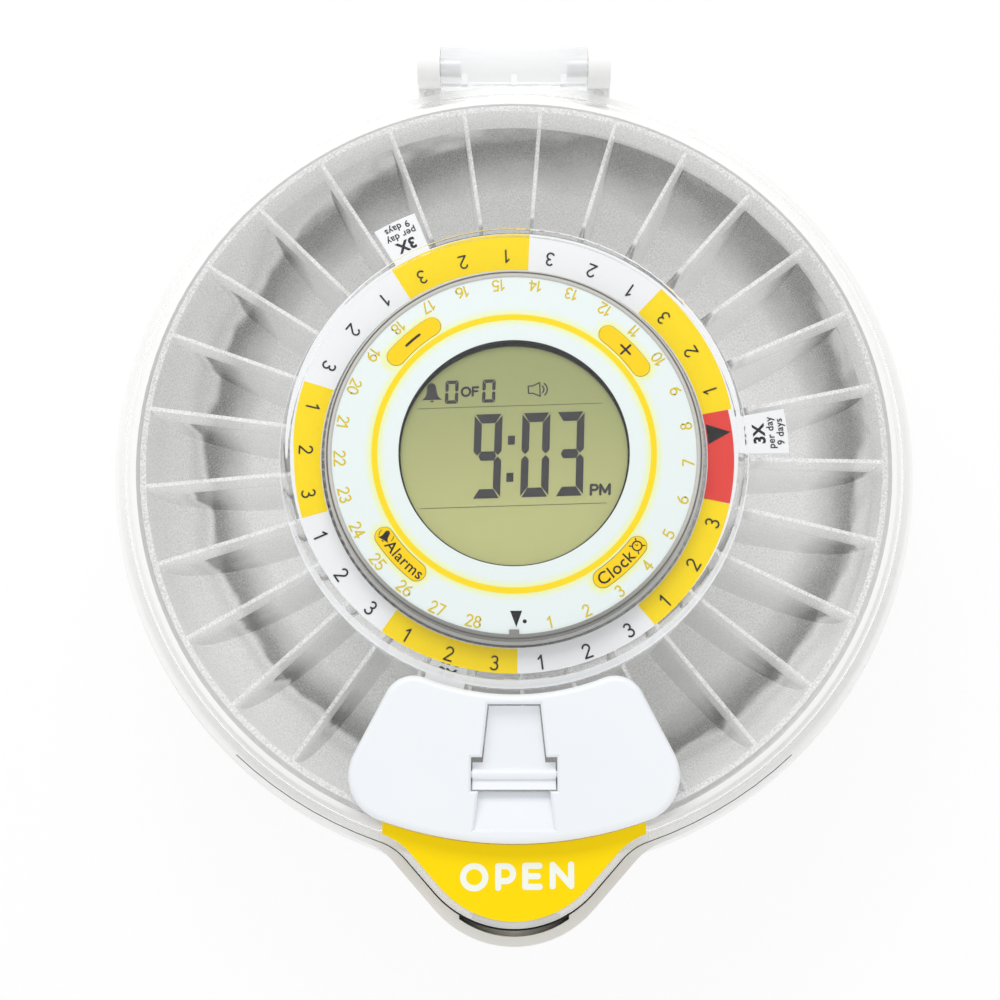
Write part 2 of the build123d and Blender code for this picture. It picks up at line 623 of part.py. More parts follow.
with BuildPart() as battery_door:
    with BuildSketch(level(FOOT_PROUD)):
        door_outline(RUN_GAP)
    extrude(amount=DOOR_T - SEAT)
    with BuildSketch(level(FOOT_PROUD)):
        with Locations((0, DOOR_Y / 2 - 8)):
            with GridLocations(1, 2.4, 1, DOOR_GRIPS):
                SlotOverall(20, 1.2)
    extrude(amount=DOOR_T / 3, mode=Mode.SUBTRACT)
    with BuildSketch(level(FOOT_PROUD)):
        with Locations((0, DOOR_SCREW_Y)):
            Circle(SCREW_HEAD_R + SHAFT_GAP)
    extrude(amount=SCREW_HEAD_T, mode=Mode.SUBTRACT)
    with BuildSketch(level(FOOT_PROUD)):
        with Locations((0, DOOR_SCREW_Y)):
            Circle(SCREW_R + SEAT)
    extrude(amount=DOOR_T, mode=Mode.SUBTRACT)

with BuildPart() as door_screw:
    with Locations(at(0, DOOR_SCREW_Y, FOOT_PROUD + SCREW_HEAD_T - SEAT) * Rot(180, 0, 0)):
        screw(SCREW_HEAD_R, SCREW_HEAD_T, SCREW_R, SCREW_LEN)

with BuildPart() as hub_screws:
    for x, y in HUB_SCREW_AT:
        with Locations(at(x, y, FOOT_PROUD + LONG_HEAD_T - SEAT) * Rot(180, 0, 0)):
            screw(LONG_HEAD_R, LONG_HEAD_T - SEAT, LONG_SCREW_R, LONG_SCREW_LEN)

# ---------------------------------------------------------------- base: clock tower

with BuildPart() as hub_housing:
    with BuildSketch(level(FLOOR_TOP + SEAT)):
        Circle(TOWER_R)
        Circle(TOWER_IN, mode=Mode.SUBTRACT)
    extrude(amount=WALL_TOP - FLOOR_TOP - SEAT)
    with BuildSketch(level(COLLAR_Z)):
        Circle(COLLAR_R)
        Circle(TOWER_IN, mode=Mode.SUBTRACT)
    extrude(amount=DECK_T - COLLAR_GAP - SEAT)
    with BuildSketch(level(SHELF_Z)):
        Circle(TOWER_R - TOWER_WALL / 2)
    extrude(amount=SHELF_T)
    with BuildSketch(level(FLOOR_TOP + SEAT)):
        with Locations(*HUB_SCREW_AT):
            Circle(BOSS_R)
            Circle(LONG_SCREW_R + SEAT, mode=Mode.SUBTRACT)
    extrude(amount=BOSS_H)
    with BuildSketch(level(SHELF_Z + SHELF_T)):
        with Locations(*BOARD_POST_AT):
            Circle(POST_R)
            Circle(SCREW_R + SEAT, mode=Mode.SUBTRACT)
    extrude(amount=BOARD_Z - SHELF_Z - SHELF_T - SEAT)
    with BuildSketch(level(SHELF_Z + SHELF_T)):
        with Locations(*BRACKET_POST_AT):
            Circle(POST_R)
            Circle(SCREW_R + SEAT, mode=Mode.SUBTRACT)
    extrude(amount=MOTOR_TOP - SHELF_Z - SHELF_T)
    with BuildSketch(level(SHELF_Z)):
        with Locations((0, MOTOR_R)):
            Rectangle(MOTOR_X + 2 * RUN_GAP, MOTOR_Y + 2 * RUN_GAP)
    extrude(amount=SHELF_T, mode=Mode.SUBTRACT)
    # window that lets the pinion reach the ring gear
    with BuildSketch(level(BRACKET_Z + BRACKET_T)):
        with Locations((0, TOWER_R)):
            Rectangle(2 * (PINION_TIP_R - 0.6), 4 * TOWER_WALL)
    extrude(amount=COLLAR_Z - BRACKET_Z - BRACKET_T, mode=Mode.SUBTRACT)

with BuildPart() as gearmotor:
    with BuildSketch(level(MOTOR_TOP - MOTOR_H)):
        with Locations((0, MOTOR_R)):
            RectangleRounded(MOTOR_X, MOTOR_Y, MOTOR_Y / 4)
    extrude(amount=MOTOR_H - GEARBOX_H)
    with BuildSketch(level(MOTOR_TOP - GEARBOX_H)):
        with Locations((0, MOTOR_R)):
            Rectangle(MOTOR_X, MOTOR_Y)
    extrude(amount=GEARBOX_H)
    with BuildSketch(level(MOTOR_TOP)):
        with Locations((0, MOTOR_R)):
            Circle(SHAFT_R + SHAFT_GAP)
    extrude(amount=-SHAFT_IN - SHAFT_GAP, mode=Mode.SUBTRACT)
    with BuildSketch(level(MOTOR_TOP)):
        with Locations(*MOTOR_SCREW_AT):
            Circle(SMALL_SCREW_R + SEAT)
    extrude(amount=-SMALL_SCREW_LEN, mode=Mode.SUBTRACT)

with BuildPart() as motor_bracket:
    with BuildSketch(level(BRACKET_Z)):
        with Locations((0, BRACKET_AT)):
            RectangleRounded(BRACKET_X, BRACKET_Y, 1)
        with Locations((0, MOTOR_R)):
            Circle(SHAFT_R + 2 * RUN_GAP, mode=Mode.SUBTRACT)
        with Locations(*BRACKET_POST_AT):
            Circle(SCREW_R + SEAT, mode=Mode.SUBTRACT)
        with Locations(*MOTOR_SCREW_AT):
            Circle(SMALL_SCREW_R + SEAT, mode=Mode.SUBTRACT)
    extrude(amount=BRACKET_T)
    with BuildSketch(level(BRACKET_Z + BRACKET_T)):
        with Locations(*MOTOR_SCREW_AT):
            Circle(SMALL_HEAD_R + SEAT)
    extrude(amount=-SMALL_HEAD_T, mode=Mode.SUBTRACT)

with BuildPart() as motor_screws:
    for x, y in MOTOR_SCREW_AT:
        with Locations(at(x, y, BRACKET_Z + BRACKET_T - SMALL_HEAD_T + SEAT)):
            screw(SMALL_HEAD_R, SMALL_HEAD_T - SEAT, SMALL_SCREW_R, SMALL_SCREW_LEN)

with BuildPart() as bracket_screws:
    for x, y in BRACKET_POST_AT:
        with Locations(at(x, y, BRACKET_Z + BRACKET_T + SEAT)):
            screw(SCREW_HEAD_R, SCREW_HEAD_T, SCREW_R, SCREW_LEN)

with BuildPart() as main_board:
    with BuildSketch(level(BOARD_Z)):
        Circle(BOARD_R)
        with Locations(*BOARD_POST_AT):
            Circle(SCREW_R + SEAT, mode=Mode.SUBTRACT)
    extrude(amount=BOARD_T)

with BuildPart() as board_screws:
    for x, y in BOARD_POST_AT:
        with Locations(at(x, y, BOARD_TOP + SEAT)):
            screw(SCREW_HEAD_R, SCREW_HEAD_T, SCREW_R, SCREW_LEN)

with BuildPart() as board_parts:
    with Locations(at(CHIP_X, CHIP_Y, BOARD_Z - SEAT)):
        Box(CHIP_SIZE, CHIP_SIZE, CHIP_T, align=DOWN)
    with Locations(at(SOCKET_X, SOCKET_Y, BOARD_Z - SEAT)):
        Box(SOCKET_W, SOCKET_L, SOCKET_T, align=DOWN)
    with Locations(at(CAN_X, CAN_Y, BOARD_Z - SEAT)):
        Cylinder(CAN_R, CAN_H, align=DOWN)
    with Locations(at(LAMP_X, LAMP_Y, BOARD_Z - SEAT)):
        Box(LAMP_SIZE, LAMP_SIZE, LAMP_T, align=DOWN)

with BuildPart() as buzzer:
    with Locations(at(0, BUZZER_Y, BOARD_Z - SEAT)):
        Cylinder(BUZZER_R, BUZZER_T, align=DOWN)
    with Locations(at(0, BUZZER_Y, BOARD_Z - SEAT - BUZZER_T)):
        Cylinder(BUZZER_HOLE_R, BUZZER_HOLE_DEEP, align=UP, mode=Mode.SUBTRACT)

with BuildPart() as tact_switches:
    for angle in KEY_ANGLES.values():
        with Locations(at(*polar(KEY_MID_R, angle), BOARD_TOP + SEAT) * Rot(0, 0, angle)):
            Box(SWITCH_X, SWITCH_Y, SWITCH_T, align=UP)
            stem = KEY_FLANGE_Z - KEY_TRAVEL - SHAFT_GAP - BOARD_TOP - SEAT
            Cylinder(SWITCH_STEM_R, stem, align=UP)

with BuildPart() as lcd_module:
    with BuildSketch(level(BOARD_TOP + SEAT)):
        Rectangle(LCD_SIZE, LCD_SIZE)
        chamfer(vertices(), LCD_CORNER)
    extrude(amount=LCD_T)

with BuildPart() as display_lens:
    with BuildSketch(level(FACE_Z - LENS_SUNK - LENS_T)):
        Circle(WINDOW_R - SEAT)
    extrude(amount=LENS_T)

with BuildPart() as face_plate:
    with BuildSketch(level(WALL_TOP + SEAT)):
        Circle(FACE_R)
        Circle(WINDOW_R, mode=Mode.SUBTRACT)
        for angle in KEY_ANGLES.values():
            key_outline(angle, KEY_HALF_W + KEY_GAP, mode=Mode.SUBTRACT)
    extrude(amount=FACE_T - SEAT)

with BuildPart() as bezel_ring:
    with BuildSketch(level(WALL_TOP + SEAT)):
        Circle(BEZEL_R)
        Circle(FACE_R + SEAT, mode=Mode.SUBTRACT)
    extrude(amount=FACE_T + BEZEL_PROUD - SEAT)
    chamfer(bezel_ring.faces().sort_by(Axis.Z)[-1].edges(), BEZEL_EDGE)
    with BuildSketch(level(FACE_Z + SEAT)):
        with Locations((0, -BEZEL_R + BEZEL_EDGE + BEZEL_TAB_L / 2)):
            Rectangle(BEZEL_TAB_W, BEZEL_TAB_L)
    extrude(amount=BEZEL_PROUD - 2 * SEAT)

keys = {}
for name, angle in KEY_ANGLES.items():
    with BuildPart() as key:
        with BuildSketch(level(KEY_FLANGE_Z)):
            key_outline(angle, KEY_HALF_W + KEY_LIP)
        extrude(amount=KEY_LIP)
        with BuildSketch(level(KEY_FLANGE_Z)):
            key_outline(angle, KEY_HALF_W)
        extrude(amount=FACE_Z + KEY_PROUD - KEY_FLANGE_Z)
    keys[name] = key

# ---------------------------------------------------------------- drive pinion

PINION_PLANE = Plane((0, AXIS_Y + MOTOR_R, PINION_Z))

with BuildPart() as drive_pinion:
    with BuildSketch(PINION_PLANE):
        gear_outline(PINION_TEETH, PINION_TIP_R, PINION_PITCH_R - TOOTH_MODULE - ROOT_ROOM, 90)
        Circle(SHAFT_R + SEAT, mode=Mode.SUBTRACT)
    extrude(amount=PINION_T)

with BuildPart() as motor_shaft:
    with BuildSketch(PINION_PLANE.offset(MOTOR_TOP - SHAFT_IN - PINION_Z)):
        Circle(SHAFT_R)
    extrude(amount=PINION_Z + PINION_T - MOTOR_TOP + SHAFT_IN)

# ---------------------------------------------------------------- tray

with BuildPart() as tray_bowl:
    with BuildSketch(SECTION):
        with BuildLine():
            Polyline(
                (RIM_INNER_R, SCOOP_Z),
                (RIM_INNER_R, TRAY_TOP),
                (TRAY_R, TRAY_TOP),
                (TRAY_R, SCOOP_Z),
            )
            slant = SCOOP_R + TRAY_WALL
            ThreePointArc(
                (TRAY_R, SCOOP_Z),
                (CELL_INNER_R + slant * sin(pi / 4), SCOOP_Z - slant * cos(pi / 4)),
                (CELL_INNER_R, TRAY_BOTTOM),
            )
            Polyline(
                (CELL_INNER_R, TRAY_BOTTOM),
                (CELL_INNER_R - TRAY_WALL, TRAY_BOTTOM),
                (CELL_INNER_R - TRAY_WALL, DECK_BOTTOM),
                (RING_TIP_R, DECK_BOTTOM),
                (RING_TIP_R, DECK_TOP),
                (CELL_INNER_R, DECK_TOP),
                (CELL_INNER_R, TRAY_FLOOR),
            )
            ThreePointArc(
                (CELL_INNER_R, TRAY_FLOOR),
                (CELL_INNER_R + SCOOP_R * sin(pi / 4), SCOOP_Z - SCOOP_R * cos(pi / 4)),
                (RIM_INNER_R, SCOOP_Z),
            )
        make_face()
    revolve(axis=TRAY_AXIS)

with BuildPart() as tray_dividers:
    with BuildSketch(*[radial(TRAY_ANGLE + i * PITCH) for i in range(CELLS)]):
        with BuildLine():
            inner, outer = CELL_INNER_R + SEAT, RIM_INNER_R - SEAT
            fin_r = SCOOP_R - SEAT
            Polyline((outer, SCOOP_Z), (outer, TRAY_TOP), (inner, TRAY_TOP), (inner, TRAY_FLOOR + SEAT))
            ThreePointArc(
                (inner, TRAY_FLOOR + SEAT),
                (CELL_INNER_R + fin_r * sin(pi / 4), SCOOP_Z - fin_r * cos(pi / 4)),
                (outer, SCOOP_Z),
            )
        make_face()
    extrude(amount=DIVIDER_T / 2, both=True)

with BuildPart() as ring_gear:
    with BuildSketch(level(DECK_BOTTOM - RING_GEAR_T)):
        Circle(RING_ROOT_R + RING_GEAR_RIM)
        gear_outline(RING_TEETH, RING_TIP_R, RING_ROOT_R, 90 + 180 / RING_TEETH, mode=Mode.SUBTRACT)
    extrude(amount=RING_GEAR_T - SEAT)

with BuildPart() as dose_ring:
    with BuildSketch(level(DECK_TOP + SEAT)):
        Circle(DOSE_OUTER_R)
        for cell in TAB_CELLS:
            middle = TRAY_ANGLE + (cell + 0.5) * PITCH
            sector(DOSE_OUTER_R - 2, TAB_REACH, TAB_HALF_ANGLE, middle)
        Circle(DOSE_INNER_R, mode=Mode.SUBTRACT)
    extrude(amount=DOSE_T - SEAT)

# ---------------------------------------------------------------- lid

DOME_TOP = LID_TOP + DOME_H
DOME_TOP_R = DOME_R - DOME_RISE_IN
DOME_SLOPE_T = LID_T * hypot(DOME_H, DOME_RISE_IN) / DOME_H  # the wall's thickness, measured level
SPOUT_BACK = LID_R - SPOUT_OVER
corner = 1 - sin(pi / 4)

with BuildPart() as lid_spout:
    with BuildSketch(level(LID_SKIRT_Z)):
        spout_outline(LID_R - SEAT, LID_REACH, LID_NOSE_R, back=SPOUT_BACK)
    extrude(amount=LID_TOP - LID_SKIRT_Z)
    lip = lid_spout.faces().sort_by(Axis.Z)[-1].edges().sort_by(Axis.Y)[:5]
    fillet(lip, LID_LIP_EDGE)

with BuildPart() as lid_shell:
    with BuildSketch(SECTION):
        with BuildLine():
            Line((0, DOME_TOP), (DOME_TOP_R - DOME_EDGE, DOME_TOP))
            ThreePointArc(
                (DOME_TOP_R - DOME_EDGE, DOME_TOP),
                (DOME_TOP_R - DOME_EDGE * corner, DOME_TOP - DOME_EDGE * corner),
                (DOME_TOP_R, DOME_TOP - DOME_EDGE),
            )
            Polyline((DOME_TOP_R, DOME_TOP - DOME_EDGE), (DOME_R, LID_TOP), (SHOULDER_R, LID_TOP))
            ThreePointArc(
                (SHOULDER_R, LID_TOP),
                (LID_R - LID_SHOULDER * corner, LID_TOP - LID_SHOULDER * corner),
                (LID_R, LID_TOP - LID_SHOULDER),
            )
            Polyline(
                (LID_R, LID_TOP - LID_SHOULDER),
                (LID_R, LID_SKIRT_Z),
                (0, LID_SKIRT_Z),
                (0, DOME_TOP),
            )
        make_face()
    revolve(axis=TRAY_AXIS)
    add(lid_spout.part)
    # web and barrel of the hinge
    with BuildSketch(SIDE.offset(-BARREL_HALF)):
        with Locations((HINGE_Y, HINGE_Z)):
            Circle(BARREL_R)
        with Locations(((LID_R + HINGE_Y) / 2 - 0.6, HINGE_Z)):
            Rectangle(HINGE_Y - LID_R + 1.2, WEB_T)
    extrude(amount=2 * BARREL_HALF)
    for x in WEB_RIBS:
        with BuildSketch(SIDE.offset(x - RIB_T / 2)):
            with BuildLine():
                Polyline(
                    (LID_R - 1, HINGE_Z),
                    (HINGE_Y - 2, HINGE_Z),
                    (HINGE_Y - 2, HINGE_Z + BARREL_R - 1),
                    (LID_R - 1, HINGE_Z + WEB_T / 2 + 1),
                    close=True,
                )
            make_face()
        extrude(amount=RIB_T)
    # inside of the dome, the plate and the skirt
    with BuildSketch(SECTION):
        with BuildLine():
            Polyline(
                (0, LID_SKIRT_Z),
                (0, DOME_TOP - LID_T),
                (DOME_TOP_R - DOME_SLOPE_T + 0.3, DOME_TOP - LID_T),
                (DOME_R + DOME_RISE_IN * LID_T / DOME_H - DOME_SLOPE_T, LID_UNDER),
                (SHOULDER_R, LID_UNDER),
            )
            inner_round = LID_SHOULDER - LID_T
            ThreePointArc(
                (SHOULDER_R, LID_UNDER),
                (LID_INNER_R - inner_round * corner, LID_UNDER - inner_round * corner),
                (LID_INNER_R, LID_UNDER - inner_round),
            )
            Polyline((LID_INNER_R, LID_UNDER - inner_round), (LID_INNER_R, LID_SKIRT_Z), (0, LID_SKIRT_Z))
        make_face()
    revolve(axis=TRAY_AXIS, mode=Mode.SUBTRACT)
    with BuildSketch(level(LID_SKIRT_Z)):
        spout_outline(LID_R - SEAT, LID_REACH, LID_NOSE_R, LID_T, SPOUT_BACK)
    extrude(amount=LID_UNDER - LID_SKIRT_Z, mode=Mode.SUBTRACT)
    for side in (-1, 1):
        with BuildSketch(SIDE.offset(side * (BARREL_HALF - PIN_IN - 0.2))):
            with Locations((HINGE_Y, HINGE_Z)):
                Circle(PIN_R + SHAFT_GAP)
        extrude(amount=side * (PIN_IN + 0.2), mode=Mode.SUBTRACT)
    # window for the outlet, and the sunk field for the label
    with BuildSketch(level(LID_UNDER)):
        outlet_outline(LID_WINDOW_IN, LID_WINDOW_OUT)
    extrude(amount=LID_T, mode=Mode.SUBTRACT)
    with BuildSketch(level(LID_TOP)):
        label_outline(LABEL_INSET)
    extrude(amount=-LABEL_SUNK, mode=Mode.SUBTRACT)

with BuildPart() as open_label:
    with BuildSketch(level(LID_TOP - LABEL_SUNK + SEAT)):
        label_outline(LABEL_INSET + SEAT)
    extrude(amount=LABEL_T - SEAT)

with BuildPart() as outlet_panel:
    with BuildSketch(level(LID_TOP + SEAT)):
        sector(PANEL_INNER_R, PANEL_OUTER_R, PANEL_ANGLE)
    extrude(amount=PANEL_H - SEAT)
    fillet(outlet_panel.edges().filter_by(Axis.Z).group_by(Axis.Y)[-1], PANEL_CORNER_IN)
    fillet(outlet_panel.edges().filter_by(Axis.Z).group_by(Axis.Y)[0], PANEL_CORNER_OUT)
    fillet(outlet_panel.faces().sort_by(Axis.Z)[-1].edges(), PANEL_EDGE)
    # hollow underneath, with a wall left round the window
    with BuildSketch(level(LID_TOP)):
        sector(PANEL_INNER_R + PANEL_WALL, PANEL_OUTER_R - PANEL_WALL, PANEL_ANGLE - 2.6)
        fillet(vertices(), PANEL_CORNER_IN - PANEL_WALL)
        outlet_outline(OUTLET_IN, EAR_OUT, -PANEL_FRAME, mode=Mode.SUBTRACT)
        outlet_outline(EAR_IN, OUTLET_OUT, -PANEL_FRAME, ears=False, mode=Mode.SUBTRACT)
    extrude(amount=PANEL_H - PANEL_TOP_T, mode=Mode.SUBTRACT)
    # window with an ear at each side, running out over a ramp
    with BuildSketch(level(LID_TOP)):
        outlet_outline(OUTLET_IN, EAR_OUT)
        outlet_outline(EAR_OUT, OUTLET_OUT, ears=False)
    extrude(amount=PANEL_H, mode=Mode.SUBTRACT)
    with BuildSketch(level(PANEL_TOP - OUTLET_EDGE)):
        outlet_outline(OUTLET_IN, EAR_OUT)
        outlet_outline(EAR_OUT, OUTLET_OUT, ears=False)
    extrude(amount=OUTLET_EDGE, taper=-45, mode=Mode.SUBTRACT)
    with BuildSketch(SIDE.offset(-OUTLET_W_OUT - RAMP_IN)):
        with BuildLine():
            Polyline(
                (-EAR_OUT, LID_TOP + SEAT),
                (-EAR_OUT, LID_TOP + RAMP_LOW),
                (-OUTLET_OUT, LID_TOP + RAMP_HIGH),
                (-OUTLET_OUT - RAMP_IN, LID_TOP + RAMP_HIGH),
                (-OUTLET_OUT - RAMP_IN, LID_TOP + SEAT),
                close=True,
            )
        make_face()
    extrude(amount=2 * (OUTLET_W_OUT + RAMP_IN))
    # blind bores for the flap's pins
    with BuildSketch(SIDE.offset(-EAR_W - FLAP_PIN_IN - 2 * SHAFT_GAP)):
        with Locations((-PIVOT_R, PIVOT_Z)):
            Circle(FLAP_PIN_R + SHAFT_GAP)
    extrude(amount=2 * (EAR_W + FLAP_PIN_IN + 2 * SHAFT_GAP), mode=Mode.SUBTRACT)

with BuildPart() as outlet_flap:
    with BuildSketch(SIDE.offset(-EAR_W)):
        with BuildLine():
            tops = [
                (-OUTLET_IN, LID_TOP + FLAP_IN_Z),
                (-FLAP_MID_R, LID_TOP + FLAP_MID_Z),
                (-EAR_OUT, LID_TOP + FLAP_OUT_Z),
            ]
            ThreePointArc(*tops)
            ThreePointArc(*[(y, z - FLAP_T) for y, z in tops])
            Line(tops[0], (tops[0][0], tops[0][1] - FLAP_T))
            Line(tops[2], (tops[2][0], tops[2][1] - FLAP_T))
        make_face()
    extrude(amount=2 * EAR_W)
    with BuildSketch(level(LID_TOP - FLAP_T)):
        outlet_outline(OUTLET_IN, EAR_OUT, FLAP_GAP, EAR_ROOM)
    extrude(amount=2 * PANEL_H, mode=Mode.INTERSECT)
    with BuildSketch(SIDE.offset(-EAR_W + FLAP_GAP)):
        with Locations((-PIVOT_R, PIVOT_Z)):
            Circle(PIVOT_BAR_R)
    extrude(amount=2 * (EAR_W - FLAP_GAP))
    with BuildSketch(SIDE.offset(-EAR_W - FLAP_PIN_IN)):
        with Locations((-PIVOT_R, PIVOT_Z)):
            Circle(FLAP_PIN_R)
    extrude(amount=2 * (EAR_W + FLAP_PIN_IN))

# ---------------------------------------------------------------- files

SUBPARTS = {
    "base_housing": base_housing,
    "rubber_feet": rubber_feet,
    "hinge_pins": hinge_pins,
    "battery_holder": battery_holder,
    "batteries": batteries,
    "battery_contacts": battery_contacts,
    "battery_door": battery_door,
    "door_screw": door_screw,
    "hub_housing": hub_housing,
    "hub_screws": hub_screws,
    "gearmotor": gearmotor,
    "motor_bracket": motor_bracket,
    "motor_screws": motor_screws,
    "bracket_screws": bracket_screws,
    "main_board": main_board,
    "board_screws": board_screws,
    "board_parts": board_parts,
    "buzzer": buzzer,
    "tact_switches": tact_switches,
    "lcd_module": lcd_module,
    "display_lens": display_lens,
    "face_plate": face_plate,
    "bezel_ring": bezel_ring,
    **keys,
    "drive_pinion": drive_pinion,
    "motor_shaft": motor_shaft,
    "tray_bowl": tray_bowl,
    "tray_dividers": tray_dividers,
    "ring_gear": ring_gear,
    "dose_ring": dose_ring,
    "lid_shell": lid_shell,
    "open_label": open_label,
    "outlet_panel": outlet_panel,
    "outlet_flap": outlet_flap,
}

os.makedirs("parts", exist_ok=True)
for name, subpart in SUBPARTS.items():
    subpart.part.label = name
    export_step(subpart.part, f"parts/{name}.step")
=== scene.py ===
# %% [markdown]
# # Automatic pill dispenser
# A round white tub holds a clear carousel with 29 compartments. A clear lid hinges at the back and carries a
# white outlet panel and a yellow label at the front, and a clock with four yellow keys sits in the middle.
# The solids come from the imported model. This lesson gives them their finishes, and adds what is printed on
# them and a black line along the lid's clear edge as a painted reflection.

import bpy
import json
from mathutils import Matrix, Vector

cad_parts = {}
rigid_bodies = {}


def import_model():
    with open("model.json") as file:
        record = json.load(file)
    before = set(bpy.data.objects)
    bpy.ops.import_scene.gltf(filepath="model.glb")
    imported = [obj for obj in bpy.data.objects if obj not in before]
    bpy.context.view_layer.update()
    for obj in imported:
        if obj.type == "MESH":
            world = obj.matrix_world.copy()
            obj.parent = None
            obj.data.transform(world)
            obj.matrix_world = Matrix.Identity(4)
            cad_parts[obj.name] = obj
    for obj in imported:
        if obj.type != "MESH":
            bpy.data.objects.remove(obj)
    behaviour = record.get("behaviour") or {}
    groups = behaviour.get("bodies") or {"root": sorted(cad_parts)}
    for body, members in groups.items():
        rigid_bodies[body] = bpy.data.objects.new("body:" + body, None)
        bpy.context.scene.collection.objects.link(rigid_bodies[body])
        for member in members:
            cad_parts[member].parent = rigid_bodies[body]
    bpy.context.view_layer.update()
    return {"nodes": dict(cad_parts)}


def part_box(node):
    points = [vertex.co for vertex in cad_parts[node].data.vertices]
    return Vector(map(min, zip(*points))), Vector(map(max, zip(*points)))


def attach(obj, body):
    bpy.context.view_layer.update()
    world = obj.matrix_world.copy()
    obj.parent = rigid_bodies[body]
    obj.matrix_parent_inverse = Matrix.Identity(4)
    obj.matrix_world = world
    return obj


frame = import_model()
solid = frame["nodes"]

# %% [markdown]
# ## Units and the carousel's axis
# Drawings of such a product are in millimetres, and Blender's unit is the metre, so one factor turns one into
# the other. Everything printed is laid out round the carousel's axis, which stands 3.7 mm behind the origin.

# %% Units
import json
from math import radians

import bpy
import numpy as np
from mathutils import Vector

MM = 0.001
AXIS_Y = 3.7  # the carousel's axis, in millimetres
# The heights of the surfaces that carry print, and of the painted reflection along the lid's lip, in
# millimetres.
FACE_TOP, KEY_TOP, DOSE_TOP, LABEL_TOP, DISPLAY_TOP, LIP_REFLECTION_Z = 54.4, 54.55, 50.8, 54.0, 52.6, 52.1
FILM = 0.04  # thickness of a print, thick enough to stay clear of what it lies on
dose_top, face_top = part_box("dose_ring")[1].z / MM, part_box("face_plate")[1].z / MM
print("dose ring top:", round(dose_top, 2), "mm; face top:", round(face_top, 2), "mm")

# %% [markdown]
# ## Camera
# The photograph looks down on the dispenser from the front, 12 degrees off the vertical, through a normal
# lens. The place was found by fitting the concentric circles of the carousel. Aiming at the carousel's top
# and shifting the frame a little puts that point where the photograph has it.

# %% Camera
EYE = Vector((0.0, -77.5, 428.4)) * MM
AIM = Vector((0.0, AXIS_Y, 51.0)) * MM
SHIFT = (-0.0141, -0.0454)  # of the frame, in parts of its width
camera = bpy.data.objects.new("camera", bpy.data.cameras.new("camera"))
camera.data.lens = 58.0
camera.data.sensor_width = 36.0
camera.data.shift_x, camera.data.shift_y = SHIFT
camera.location = EYE
camera.rotation_euler = (AIM - EYE).to_track_quat("-Z", "Y").to_euler()
bpy.context.scene.collection.objects.link(camera)
bpy.context.scene.camera = camera
bpy.context.scene.view_settings.view_transform = "Standard"
print("camera", round((EYE - AIM).length, 3), "m from the tray")

# %% [markdown]
# ## One way to add nodes, one way to read colours
# A material is a small network. Writing each node as one line, with its settings and what feeds it, keeps the
# network readable. Colours are noted as they look on a screen, in sRGB hex, while the shader wants linear
# light.

# %% Node and colour helpers


def add(tree, kind, inputs=None, **settings):
    """Add one node: settings are its own properties, inputs are values or the sockets that feed it."""
    node = tree.nodes.new(kind)
    for name, value in settings.items():
        setattr(node, name, value)
    for socket, value in (inputs or {}).items():
        if isinstance(value, bpy.types.NodeSocket):
            tree.links.new(value, node.inputs[socket])
        else:
            node.inputs[socket].default_value = value
    return node


def linear(colour):
    """Linear colour of an sRGB hex: v / 12.92 near black, ((v + 0.055) / 1.055) to the power 2.4 above it."""
    value = np.array([int(colour[i : i + 2], 16) for i in (1, 3, 5)]) / 255
    light = np.where(value <= 0.04045, value / 12.92, ((value + 0.055) / 1.055) ** 2.4)
    return (*light.tolist(), 1.0)


def start_material(name):
    """An empty material: its tree, its output, and the place on the object that its patterns read."""
    material = bpy.data.materials.new(name)
    material.use_nodes = True
    tree = material.node_tree
    tree.nodes.clear()
    output = add(tree, "ShaderNodeOutputMaterial")
    place = add(tree, "ShaderNodeTexCoord").outputs["Object"]
    return material, tree, output, place


def principled(tree, output, inputs):
    """The material's surface, as one Principled shader."""
    shader = add(tree, "ShaderNodeBsdfPrincipled", inputs)
    tree.links.new(shader.outputs[0], output.inputs[0])


print("white in linear light:", [round(v, 3) for v in linear("#f4f6f7")[:3]])

# %% [markdown]
# The sums, ramps, blends and noises that every material is made of take one line each as well. Two questions
# come up more than once: how far a place is from an upright axis, and whether a ray of light shows a picture.

# %% Sums, ramps, blends and noises


def sums(tree, operation, *values):
    """The result of one operation on numbers or sockets."""
    return add(tree, "ShaderNodeMath", dict(enumerate(values)), operation=operation).outputs[0]


def ramp(tree, value, start, end, low=0.0, high=1.0, curve="LINEAR"):
    """How far a value is from start to end, as a number from low to high, held beyond both."""
    limits = {"Value": value, "From Min": start, "From Max": end, "To Min": low, "To Max": high}
    return add(tree, "ShaderNodeMapRange", limits, interpolation_type=curve).outputs[0]


def blend(tree, share, first, second):
    """The first colour at share 0, the second at share 1. Each is an sRGB hex or a socket."""
    first, second = (linear(end) if isinstance(end, str) else end for end in (first, second))
    return add(tree, "ShaderNodeMix", {0: share, 6: first, 7: second}, data_type="RGBA").outputs[2]


def noise(tree, place, size, detail):
    """Noise from 0 to 1 in patches of this many millimetres."""
    inputs = {"Vector": place, "Scale": 1 / (size * MM), "Detail": detail}
    return add(tree, "ShaderNodeTexNoise", inputs).outputs[0]


def bumps(tree, height, depth):
    """The normal of a surface that is uneven by a pattern, to this depth in millimetres."""
    return add(tree, "ShaderNodeBump", {"Height": height, "Distance": depth * MM}).outputs[0]


